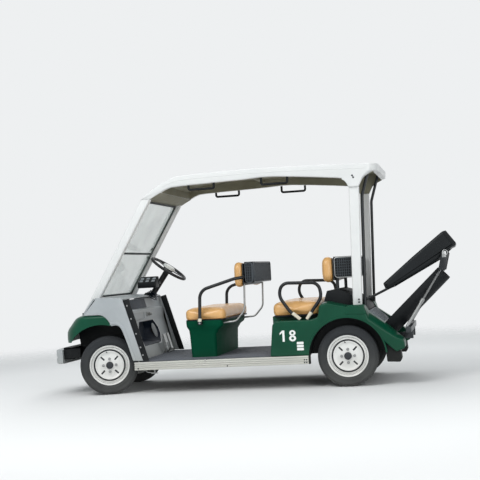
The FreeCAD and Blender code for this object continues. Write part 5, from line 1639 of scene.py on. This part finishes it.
@dataclass
class Pad:
    """One upholstered pad: foam in vinyl, swollen by cloth simulation, with piping."""

    name: str
    low: Point
    high: Point
    corner: float
    edge: float
    cap: float = 14.0
    voxel: float = 9.0
    shrink: float = 4.0
    slack: float = 4.0
    pressure: float = 2.2
    tension: float = 22.0
    bending: float = 6.0
    frames: int = 14
    fill: float = 0.85
    piping_level: float = 0.16
    piping_radius: float = 3.6
    upright: bool = False

    def start(self) -> Form:
        """Rounded block a little smaller than the pad.

        Returns:
            The block.
        """
        s = self.shrink
        (x0, y0, z0), (x1, y1, z1) = self.low, self.high
        form = Form().block((x0 + s, y0 + s, z0 + (s if self.upright else 1.5)), (x1 - s, y1 - s, z1 - s))
        axis, first, last = (2, z0 + s, z1 - s) if self.upright else (0, x0 + s, x1 - s)
        form.soften(self.corner, 6, where=lambda p: min(abs(p.y - y0 - s), abs(p.y - y1 + s)) < 1
                    and min(abs(p[axis] - first), abs(p[axis] - last)) < 1)
        return form.soften(self.edge, 4, 30)

    def swell(self, made: Piece) -> None:
        """Remeshes the block, blows it up as cloth and caps the movement.

        Args:
            made: The block, which becomes the pad.
        """
        remesh = made.modifiers.new("voxels", "REMESH")
        remesh.mode, remesh.voxel_size = "VOXEL", self.voxel * MM
        self.applied(made)
        self.blow_up(made)
        low, high = Vector(self.low) * MM, Vector(self.high) * MM
        slack = self.slack * MM
        for vertex in made.data.vertices:
            if not self.upright:
                vertex.co.z = max(vertex.co.z, low.z)
            vertex.co.x = min(max(vertex.co.x, low.x - slack), high.x + slack)
            vertex.co.y = min(max(vertex.co.y, low.y - slack), high.y + slack)
        finer = made.modifiers.new("finer", "SUBSURF")
        finer.levels = finer.render_levels = 1
        self.applied(made)

    def blow_up(self, made: Piece) -> None:
        """Runs the cloth simulation, and keeps each point within the cap.

        Args:
            made: The remeshed block.
        """
        rest = [v.co.copy() for v in made.data.vertices]
        cloth = made.modifiers.new("cloth", "CLOTH").settings
        cloth.quality = 5
        cloth.use_pressure = True
        cloth.uniform_pressure_force = self.pressure
        cloth.effector_weights.gravity = 0
        cloth.tension_stiffness = self.tension
        cloth.bending_stiffness = self.bending
        for step in range(1, self.frames + 1):
            bpy.context.scene.frame_set(step)
        self.applied(made)
        for vertex, origin in zip(made.data.vertices, rest):
            move = vertex.co - origin
            if move.length > self.cap * MM:
                vertex.co = origin + move.normalized() * self.cap * MM
        bpy.context.scene.frame_set(1)

    @staticmethod
    def applied(made: Piece) -> None:
        """Applies every modifier of an object.

        Args:
            made: The object.
        """
        mesh, old = evaluated(made), made.data
        made.modifiers.clear()
        made.data = mesh
        bpy.data.meshes.remove(old)

    def seam(self, made: Piece) -> list[Vector]:
        """Closed line round the pad, on its skin, where the piping runs.

        Args:
            made: The swollen pad.

        Returns:
            The points of the line, in millimetres.
        """
        tree = BVHTree.FromObject(made, bpy.context.evaluated_depsgraph_get())
        low, high = Vector(self.low), Vector(self.high)
        middle, half = (low + high) / 2, (high - low) / 2
        out = []
        for a in around(160):
            c, s = cos(a), sin(a)
            c, s = copysign(abs(c) ** 0.25, c), copysign(abs(s) ** 0.25, s)
            if self.upright:
                x = low.x + (high.x - low.x) * self.piping_level
                goal = Vector((x, middle.y, middle.z))
                start = Vector((x, middle.y + half.y * c, middle.z + half.z * s))
                goal.y += (half.y - half.z) * max(-1, min(1, c * 1.4)) * 0.9
            else:
                z = low.z + (high.z - low.z) * self.piping_level
                goal = Vector((middle.x, middle.y, z))
                start = Vector((middle.x + half.x * c, middle.y + half.y * s, z))
                goal.y += (half.y - half.x) * max(-1, min(1, s * 1.4)) * 0.9
            away = (start - goal).normalized()
            hit = tree.ray_cast((goal + away * 900) * MM, -away, 2)[0]
            if hit is not None:
                out.append(hit / MM)
        return out

    def piping(self, line: list[Vector]) -> Form:
        """Round cord along a closed line.

        Args:
            line: The points of the line.

        Returns:
            The cord's form.
        """
        rings = []
        for k, point in enumerate(line):
            run = (line[(k + 1) % len(line)] - line[k - 1]).normalized()
            side = run.orthogonal().normalized() if k == 0 else side
            side = (side - run * side.dot(run)).normalized()
            up = run.cross(side)
            rings.append([tuple(point + (side * cos(b) + up * sin(b)) * self.piping_radius)
                          for b in around(8)])
        return Form().skin(rings, looped=True)

    def build(self) -> Piece:
        """Returns:
            The pad.
        """
        made = self.start().outward().object(self.name)
        self.swell(made)
        made.data.shade_smooth()
        self.piping(self.seam(made)).piece(self.name + "_piping", PIPING, slot="tan_vinyl")
        return made


@dataclass
class Seats:
    """Front and rear benches with pads, frames, arm loops and baskets."""

    half: float = 500.0

    def pads(self) -> None:
        """The four pads."""
        h, b = self.half, 450
        cushions = (Pad("front_cushion", (ahead(-1073), -h, 592), (ahead(-715), h, 692), 52, 30, 12),
                    Pad("rear_cushion", (aft(217), -h, 594), (aft(617), h, 708), 56, 34, 13))
        backs = (Pad("front_backrest", (ahead(-1228), -b, 850), (ahead(-1150), b, 1075), 64, 34, 18,
                     upright=True),
                 Pad("rear_backrest", (aft(95), -b, 850), (aft(190), b, 1075), 70, 42, 22, upright=True))
        for group, node in ((cushions, "seat_cushions"), (backs, "backrests")):
            for pad in group:
                place(pad.build(), VINYL, node, slot="tan_vinyl")

    def pans(self) -> Form:
        """Black moulded pans under the cushions.

        Returns:
            Both pans.
        """
        form = Form()
        for x0, x1, z in ((ahead(-1068), ahead(-722), 588), (aft(224), aft(610), 590)):
            y = self.half - 8
            corners = [(x0, -y), (x1, -y), (x1, y), (x0, y)]
            plan = [(p.x, p.y) for p in smooth_path([(a, b, 0) for a, b in corners], 44, closed=True)]
            form.add(Form().plate(plan, z, z + 12).soften(4, 2, 60))
        return form

    def pod(self) -> Form:
        """Front seat pod: a rolled top band over a body that tapers to the floor.

        Returns:
            The pod.
        """
        levels = ((592, 496, -1042, -724), (588, 496, -1042, -724), (548, 494, -1040, -726),
                  (534, 489, -1034, -731), (512, 478, -1004, -742), (470, 470, -978, -745),
                  (380, 464, -974, -748), (280, 458, -972, -752))
        rings = []
        for z, y, back, front in levels:
            x0, x1 = ahead(back), ahead(front)
            corners = [(x0, -y, z), (x1, -y, z), (x1, y, z), (x0, y, z)]
            rings.append([tuple(p) for p in smooth_path(corners, 30, 6, closed=True)])
        return Form().skin(rings)

    def arms(self) -> Form:
        """Bent arm tubes: an arm each side in front, a loop each side behind.

        Returns:
            Arms, loops and feet.
        """
        side = 530
        front = [(ahead(-858), side, 560), (ahead(-872), side, 846), (ahead(-1171), side, 930),
                 (ahead(-1248), 486, 940), (ahead(-1226), 440, 940)]
        loop = [(372, 546), (468, 650), (545, 770), (512, 872), (210, 862), (186, 740),
                (262, 645), (322, 546)]
        rear = [(aft(x), 548, z) for x, z in loop]
        form = Form().tube(smooth_path(front, [0, 92, 90, 40, 0], 10), 14, 20)
        form.add(Form().tube(smooth_path(rear, [0, 120, 110, 70, 70, 110, 120, 0], 10), 14, 20))
        foot = Form().block((ahead(-876), 496, 558), (ahead(-842), 545, 586)).soften(5, 3)
        return form.add(foot).both_sides()

    def plates(self) -> Form:
        """Plates behind the backrests, and the posts of the rear one.

        Returns:
            Plates and posts.
        """
        form = Form()
        for x in (ahead(-1228), aft(95)):
            form.add(Form().block((x - 6, -440, 870), (x, 440, 1055)).soften(2.4, 2))
        return form.add(Form().tube([(aft(75), 330, 737), (aft(75), 330, 886)], 14, 20).both_sides())

    def struts(self) -> Form:
        """Bare rods that carry the front backrest and curl in under the cushion.

        Returns:
            Both rods.
        """
        path = [(ahead(-1236), 425, 880), (ahead(-1228), 425, 660), (ahead(-1150), 425, 572),
                (ahead(-1040), 425, 564)]
        return Form().tube(smooth_path(path, [0, 90, 60, 0], 10), 8, 16).both_sides()

    def basket_rails(self, x0: float, x1: float) -> Form:
        """Rails round one basket, which lies between two stations.

        Args:
            x0: The rear station.
            x1: The front station.

        Returns:
            The rails.
        """
        form, z, high = Form(), 893, 1060
        frames = [[(x0 + 4, y, z), (x1 - 4, y, z), (x1 - 4, y, high), (x0 + 4, y, high)]
                  for y in (-423, 423)]
        x = x0 - 3
        frames.append([(x, -414, z), (x, 414, z), (x, 414, high), (x, -414, high)])
        for corners in frames:
            path = smooth_path(corners, 24, closed=True)
            form.add(Form().tube(path + path[:2], 4.4, 12))
        return form

    def basket_wires(self) -> Form:
        """Grid of ribs on the baskets' sides and backs.

        Returns:
            All ribs.
        """
        form = Form()
        for x0, x1 in ((ahead(-1316), ahead(-1246)), (aft(-100), aft(86))):
            for y in (-421, 421):
                bar = Form().block((x0 + 10, y - 2, 900), (x0 + 14, y + 2, 1056))
                form.add(Repeats.row(bar, int((x1 - x0 - 14) / 18), (18, 0, 0), finish=WIRE))
            bar = Form().block((x0 - 3, -406, 900), (x0 + 1, -402, 1056))
            form.add(Repeats.row(bar, 43, (0, 19.2, 0), finish=WIRE))
            for y in (-421, 421):
                long = Form().block((x0 + 4, y - 2, 916), (x1 - 4, y + 2, 920))
                form.add(Repeats.row(long, 7, (0, 0, 22), finish=WIRE))
        return form

    def arm_bolts(self) -> Form:
        """Bolts at the feet of the arm tubes."""
        return side_bolts([(ahead(-859), 545, 572)], 11, 5, 8)

    def sleeves(self) -> Form:
        """Cream sleeves on the lower ends of the arm tubes.

        Returns:
            All sleeves.
        """
        form = Form().tube([(ahead(-858), 530, 586), (ahead(-860), 530, 612)], 16.6, 24)
        for a, b in (((376, 566), (436, 620)), ((317, 566), (278, 622))):
            form.add(Form().tube([(aft(a[0]), 548, a[1]), (aft(b[0]), 548, b[1])], 16.6, 24))
        return form.both_sides()

    def build(self) -> None:
        """Makes the seats' pieces."""
        self.pads()
        self.pans().piece("seat_pans", BLACK)
        self.plates().piece("seat_brackets", POWDER, "seat_frames", slot="black_paint", smooth=50)
        self.arms().piece("arm_tubes", POWDER, "armrests", slot="black_paint", smooth=50)
        self.struts().piece("backrest_rods", ZINC)
        self.basket_rails(ahead(-1316), ahead(-1246)).piece("front_basket_rails", WIRE)
        self.basket_rails(aft(-100), aft(86)).piece("rear_basket_rails", ZINC)
        self.basket_wires().piece("basket_grid", WIRE)
        self.arm_bolts().piece("arm_bolts", ZINC)
        softened("baskets", BLACK, "seat_baskets", slot="black_plastic", width=2, steps=2)
        self.pod().piece("front_seat_pod", SATIN, "front_seat_base", slot="green_gloss")
        self.sleeves().piece("arm_sleeves", SLEEVE)


# tail


@dataclass
class RearBody:
    """Green fenders and seat box, the number on them, and the valance between the wheels."""

    arch: float = 315.0
    inner: float = 400.0
    shoulder: float = 480.0
    drop: float = 55.0
    wall: float = 6.0
    corners: tuple[tuple[float, float, float, float], ...] = (
        (633, 272, 14, 0), (605, 532, 34, 0), (574, 564, 26, 0), (290, 560, 22, 0),
        (224, 580, 30, 0), (204, 690, 34, 0.2), (150, 704, 90, 0.2), (-30, 657, 60, 0.1),
        (-152, 657, 20, 0.1), (-190, 592, 30, 0.9), (-310, 507, 60, 1), (-400, 424, 60, 0.6),
        (-466, 366, 34, 0), (-470, 300, 24, 0), (-396, 274, 18, 0), (-270, 392, 20, 0),
        (-200, 272, 20, 0))

    def fall(self, y: float) -> float:
        """How far the rounded shoulder has dropped at one distance from the middle."""
        reach = max(0, (y - self.shoulder) / (HALF - self.shoulder))
        return self.drop * (1 - cos(reach * pi / 2))

    def ring(self, y: float, gap: float = 0.0) -> list[Point]:
        """Fender outline at one distance from the middle.

        Args:
            y: The distance.
            gap: How far the outline is drawn in.

        Returns:
            The ring's points.
        """
        outline = rounded([(aft(x), z - self.fall(y) * share, r) for x, z, r, share in self.corners])
        return [(x, y, z) for x, z in (inset(outline, gap) if gap else outline)]

    def room_ring(self, y: float, gap: float) -> list[Point]:
        """Outline of the hollow at one distance, with plain corners and open below."""
        outline = inset([(aft(x), z - self.fall(y) * share) for x, z, _, share in self.corners], gap)
        return [(x, y, z - (60 if z < 290 else 0)) for x, z in outline]

    def fender(self) -> Form:
        """Fender shell, soft at its shoulder and round its outer rim, with the wheel arch.

        Returns:
            Both fenders.
        """
        rim = 12
        turns = [radians(15 * k) for k in range(7)]
        rings = [self.ring(self.inner), self.ring(self.shoulder)]
        rings += [self.ring(y) for y in (500, 520, 540, 558, 572)]
        rings += [self.ring(HALF - rim + rim * sin(a), rim * (1 - cos(a))) for a in turns]
        gaps = ((self.inner + self.wall, self.wall), (self.shoulder, self.wall), (520, 7), (560, 9),
                (HALF - 10, 14))
        room = Form().skin([self.room_ring(y, gap) for y, gap in gaps])
        return Form().skin(rings).carved(room, drum(REAR_AXLE, self.arch, 380, 640)).both_sides()

    def post_pads(self) -> Form:
        """Raised pads that the rear posts stand on.

        Returns:
            Both pads.
        """
        outline = rounded([(aft(-22), 664, 8), (aft(-156), 664, 8), (aft(-182), 582, 20),
                           (aft(16), 590, 20)])
        return Form().slab(outline, 470, HALF + 4, 9).both_sides()

    def number(self) -> Form:
        """A plain number, cut from film, and three blank strips under it.

        Returns:
            The film pieces.
        """
        y, thick, width = HALF + 0.3, 0.8, 18
        left, low, high = -312, 392, 484
        flag = [(left, high), (left + 22, high - 20), (left + 22, high - 36), (left, high - 18)]
        form = Form().block((left - width, y, low), (left, y + thick, high))
        form.add(Form().slab(flag, y, y + thick))
        middle = left - 84
        for z, half, tall in ((high - 23, 26, 23), (low + 25, 29, 25)):
            centre, rings = Vector((middle, y, z)), []
            for a in around(40):
                p = Vector((middle + half * cos(a), y, z + tall * sin(a)))
                rings.append([tuple(centre + Vector((0, dy, 0)) + (p - centre) * s)
                              for dy, s in ((0, 1), (thick, 1), (thick, 0.4), (0, 0.4))])
            form.add(Form().skin(rings, looped=True))
        for z in (366, 341, 316):
            patch = rounded([(-428, z, 5), (-484, z, 5), (-484, z + 20, 5), (-428, z + 20, 5)])
            form.add(Form().slab(patch, y, y + thick))
        return form

    def lips(self) -> Form:
        """Rolled lips round the wheel arches.

        Returns:
            Both lips.
        """
        r = self.arch
        ring = Form().turned([(r - 1, 592), (r - 1, HALF + 2), (r + 4, HALF + 4), (r + 10, HALF + 3),
                              (r + 13, HALF - 2), (r + 13, 592)], 128)
        ring.moved(Matrix.Translation((REAR_AXLE, 0, WHEEL_Z)))
        ring.carved(Form().block((aft(-500), 500, -100), (aft(500), 700, 273)))
        return ring.both_sides()

    def liners(self) -> Form:
        """Black wheel houses: a wall inboard of the tyre and a roof over it.

        Returns:
            Both wheel houses.
        """
        arch = [(aft(x), z + WHEEL_Z) for x, z in arc((0, 0), self.arch - 4, 4, 176, 28)]
        crown = [(aft(x), z + WHEEL_Z) for x, z in arc((0, 0), self.arch - 1, 176, 4, 28)]
        form = Form().slab(arch, self.inner - 1, self.inner + 2)
        return form.add(Form().slab(arch + crown, self.inner + 2, HALF - 14)).both_sides()

    def flaps(self) -> Form:
        """Black flaps that carry the wheel houses down behind the tyres.

        Returns:
            Both flaps.
        """
        outline = rounded([(aft(-300), 420, 8), (aft(-318), 192, 10), (aft(-424), 188, 14),
                           (aft(-436), 214, 10), (aft(-428), 300, 10), (aft(-360), 400, 20)])
        return Form().slab(outline, 404, 560, 5, 3).both_sides()

    def build(self) -> None:
        """Makes the rear body's pieces."""
        self.liners().piece("rear_wheel_houses", BLACK)
        self.fender().piece("fender_shells", GREEN, "rear_fenders", slot="green_gloss")
        self.post_pads().piece("post_pads", GREEN, slot="green_gloss")
        self.number().piece("number_film", LABEL)
        self.lips().piece("arch_lips", GREEN, slot="green_gloss")
        softened("seat_box", GREEN, "rear_seat_box", slot="green_gloss", width=8)
        valance = Form.of_node("rear_valance").soften(1.5, 2).add(self.flaps())
        valance.piece("valance", BLACK, "rear_valance", slot="black_plastic")


@dataclass
class BagBay:
    """Shroud, sloping deck, bag troughs, rack with its stays, and the tilting hood."""

    stay_foot: Point = (REAR_AXLE - 484, 480, 460)
    stay_head: Point = (REAR_AXLE - 785, 480, 918)

    def stay_tubes(self) -> Form:
        """Lower tubes of the telescopic stays, with their collars.

        Returns:
            Both tubes.
        """
        a, b = Vector(self.stay_foot), Vector(self.stay_head)
        form = Form().tube([a.lerp(b, 0.02), a.lerp(b, 0.44)], 12.2, 20)
        collar = [a.lerp(b, share) for share in (0.44, 0.45, 0.485, 0.495)]
        form.add(Form().tube(collar, [13, 15.6, 15.6, 11], 20))
        return form.both_sides()

    def hood_outline(self) -> list[tuple[float, float, float]]:
        """Side outline of the hood, each corner with its radius.

        Returns:
            The corners.
        """
        points = ((-311, 824, 12), (-560, 1028, 300), (-812, 1222, 60), (-842, 1230, 10),
                  (-920, 1122, 12), (-908, 1098, 10), (-884, 1090, 10), (-769, 992, 120),
                  (-351, 771, 14), (-326, 784, 14))
        return [(aft(x), z, radius) for x, z, radius in points]

    def hood(self) -> Form:
        """Moulded hood with rolled sides, hollow below.

        Returns:
            The hood.
        """
        outline = rounded(self.hood_outline())
        lid = ((-356, 820), (-560, 992), (-800, 1178), (-836, 1190), (-882, 1118), (-862, 1050),
               (-760, 950), (-366, 740))
        room = Form().slab([(aft(x), z) for x, z in lid], -410, 410)
        return Form().slab(outline, -440, 440, 22, 5).carved(room)

    def hood_lip(self) -> Form:
        """Raised collar round the hood's rear end.

        Returns:
            The collar.
        """
        run = Vector((aft(-920) - aft(-842), 1122 - 1230)).normalized()
        back = Vector((-run.y, run.x))
        base = Vector((aft(-842), 1230)) + back * 2
        start, end = base + run * 4, base + run * 130
        outline = [tuple(start), tuple(end), tuple(end + back * 34), tuple(start + back * 34)]
        return Form().slab(outline, -441.5, 441.5, 3, 3)

    def latches(self) -> Form:
        """Toggle latches between the rack's heads and the hood.

        Returns:
            Both latches.
        """
        at = Vector((aft(-819), 506, 1050))
        form = Form().block((at.x - 16, 504, at.z - 40), (at.x + 16, 511, at.z + 10)).soften(2.5, 2)
        centre, rings = at + Vector((-8, 9, 0)), []
        for a in around(24):
            point = at + Vector((-8 + 20 * cos(a), 9, 20 * sin(a)))
            out = (point - centre).normalized()
            rings.append([tuple(point + out * 3 * cos(b) + Vector((0, 3 * sin(b), 0)))
                          for b in around(8)])
        return form.add(Form().skin(rings, looped=True)).both_sides()

    def build(self) -> None:
        """Makes the bag bay's pieces."""
        softened("shroud", BLACK, "rear_shroud", slot="black_plastic", width=9)
        softened("slope_deck", DECK, "bag_deck", slot="deck_grey", width=2.4)
        softened("trough_wells", BLACK, "bag_troughs", slot="black_plastic", width=2, steps=2, smooth=45)
        softened("rack", POWDER, "bag_rack", slot="black_paint", width=3)
        softened("head_blocks", POWDER, "rack_head_blocks", slot="black_paint", width=4)
        softened("stays", ZINC, "rack_stays", slot="black_paint", width=0, smooth=50)
        self.stay_tubes().piece("stay_sleeves", ZINC)
        self.hood().piece("hood_cover", COVER, "bag_hood", body="hood", slot="black_plastic")
        self.hood_lip().piece("hood_lip", BLACK, body="hood")
        self.latches().piece("rack_latches", ZINC)
        softened("arms_of_hood", POWDER, "hood_arms", body="hood", slot="black_paint", width=0, smooth=50)
        softened("pivot_ears", POWDER, "hood_pivots", slot="black_paint", width=1.5)


# running gear


@dataclass
class RunningGear:
    """Chassis, axles, springs and the power unit below the floor."""

    def build(self) -> None:
        """Makes the running gear's pieces."""
        softened("frame_rails", CHASSIS, "chassis_frame", slot="black_paint", width=4, steps=2)
        softened("axle_beam", STEEL, "front_axle", slot="black_paint", width=2, steps=2)
        softened("drive_axle", STEEL, "rear_axle", slot="black_paint", width=0, smooth=45)
        softened("leaf_packs", STEEL, "leaf_springs", slot="black_paint", width=1.5, steps=2)
        softened("motor_case", ENGINE, "power_unit", slot="power_grey", width=10)
        softened("track_rod", STEEL, "tie_rod", body="tie_rod", slot="black_paint", width=0, smooth=45)
        for side in ("left", "right"):
            knuckle = "knuckle_" + side
            softened("stub_axle_" + side, STEEL, knuckle, body=knuckle, slot="black_paint", width=0,
                     smooth=45)


# studio


@dataclass
class Studio:
    """Camera of the photograph's view, floor and lights."""

    position: Point = (-1.7828, 9.2876, 0.9839)
    yaw: float = 0.20215
    pitch: float = 0.02989
    roll: float = -0.05635
    focal_pixels: float = 1069.08
    image_pixels: float = 480.0
    sensor: float = 36.0
    floor_radius: float = 9000.0
    backdrop: str = "#eef0f1"

    def camera(self) -> None:
        """Camera where the photograph was taken from."""
        yaw, pitch = self.yaw, self.pitch
        forward = Vector((sin(yaw) * cos(pitch), -cos(yaw) * cos(pitch), sin(pitch)))
        side = forward.cross(Vector((0, 0, 1))).normalized()
        up = side.cross(forward)
        right = side * cos(self.roll) + up * sin(self.roll)
        top = -side * sin(self.roll) + up * cos(self.roll)
        data = bpy.data.cameras.new("camera")
        data.sensor_width = self.sensor
        data.lens = self.focal_pixels / self.image_pixels * self.sensor
        data.clip_end = 200
        camera = bpy.data.objects.new("camera", data)
        bpy.context.scene.collection.objects.link(camera)
        turn = Matrix((right, top, -forward)).transposed().to_4x4()
        camera.matrix_world = Matrix.Translation(Vector(self.position)) @ turn
        bpy.context.scene.camera = camera

    def floor(self) -> None:
        """Pale floor that fades into the backdrop away from the cart."""
        r = self.floor_radius
        disc = [(r * cos(a), r * sin(a)) for a in around(64)]
        made = Form().plate(disc, -20, 0).object("floor")
        material = bpy.data.materials.new("studio_floor")
        material.use_nodes = True
        tree = material.node_tree
        tree.nodes.clear()
        place = add_node(tree, "ShaderNodeTexCoord").outputs["Object"]
        reach = add_node(tree, "ShaderNodeVectorMath", {0: place}, operation="LENGTH").outputs["Value"]
        fade = add_node(tree, "ShaderNodeMapRange", {
            "Value": reach, "From Min": 3.2, "From Max": 8}, interpolation_type="SMOOTHSTEP")
        ground = add_node(tree, "ShaderNodeBsdfDiffuse", {"Color": linear("#e6e7e6")})
        clear = add_node(tree, "ShaderNodeBsdfTransparent")
        mix = add_node(tree, "ShaderNodeMixShader", {
            0: fade.outputs["Result"], 1: ground.outputs[0], 2: clear.outputs[0]})
        add_node(tree, "ShaderNodeOutputMaterial", {"Surface": mix.outputs[0]})
        made.data.materials.append(material)

    def world(self) -> None:
        """Soft light that grows towards the zenith, with a pale backdrop to the eye."""
        world = bpy.data.worlds.new("studio")
        bpy.context.scene.world = world
        world.use_nodes = True
        tree = world.node_tree
        tree.nodes.clear()
        seen = add_node(tree, "ShaderNodeLightPath")
        through = add_node(tree, "ShaderNodeMath", {
            0: seen.outputs["Is Camera Ray"], 1: seen.outputs["Is Transmission Ray"]}, operation="MAXIMUM")
        either = add_node(tree, "ShaderNodeMath", {
            0: through.outputs[0], 1: seen.outputs["Is Glossy Ray"]}, operation="MAXIMUM")
        height = add_node(tree, "ShaderNodeSeparateXYZ", {
            0: add_node(tree, "ShaderNodeTexCoord").outputs["Generated"]}).outputs["Z"]
        glow = add_node(tree, "ShaderNodeMapRange", {
            "Value": height, "From Min": 0, "From Max": 0.8, "To Min": 0.3, "To Max": 0.8})
        light = add_node(tree, "ShaderNodeBackground", {
            "Color": linear("#eef2f6"), "Strength": glow.outputs["Result"]})
        back = add_node(tree, "ShaderNodeBackground", {"Color": linear(self.backdrop), "Strength": 1})
        mix = add_node(tree, "ShaderNodeMixShader", {
            0: either.outputs[0], 1: light.outputs[0], 2: back.outputs[0]})
        add_node(tree, "ShaderNodeOutputWorld", {"Surface": mix.outputs[0]})

    def lamp(self, name: str, at: Point, power: float, size: float) -> None:
        """Square soft light aimed at the cart.

        Args:
            name: Its name.
            at: Where it hangs, in metres.
            power: Its power in watts.
            size: Its side in metres.
        """
        data = bpy.data.lights.new(name, "AREA")
        data.energy, data.size = power, size
        made = bpy.data.objects.new(name, data)
        bpy.context.scene.collection.objects.link(made)
        made.location = at
        made.rotation_mode = "QUATERNION"
        made.rotation_quaternion = (Vector(at) - Vector((0, 0, 0.8))).to_track_quat("Z", "Y")

    def build(self) -> None:
        """Sets the scene up round the cart."""
        self.camera()
        self.floor()
        self.world()
        self.lamp("key", (2.5, 5.5, 6), power=285, size=4)
        self.lamp("fill", (-4.5, 6.5, 2.6), power=180, size=4)
        self.lamp("rim", (-1, -5, 6.5), power=135, size=4)
        bpy.context.scene.view_settings.view_transform = "Standard"


def main() -> None:
    """Builds the cart, group by group."""
    logging.basicConfig(level=logging.INFO, format="%(message)s")
    for corner, side in (("front_left", 1), ("front_right", -1), ("rear_left", 1), ("rear_right", -1)):
        Wheel(corner, side).build()
    for group in (FrontBody, Dash, Controls, Windscreen, RoofSet, FloorAndSills, Seats, RearBody, BagBay,
                  RunningGear, Studio):
        group().build()


if __name__ == "__main__":
    main()
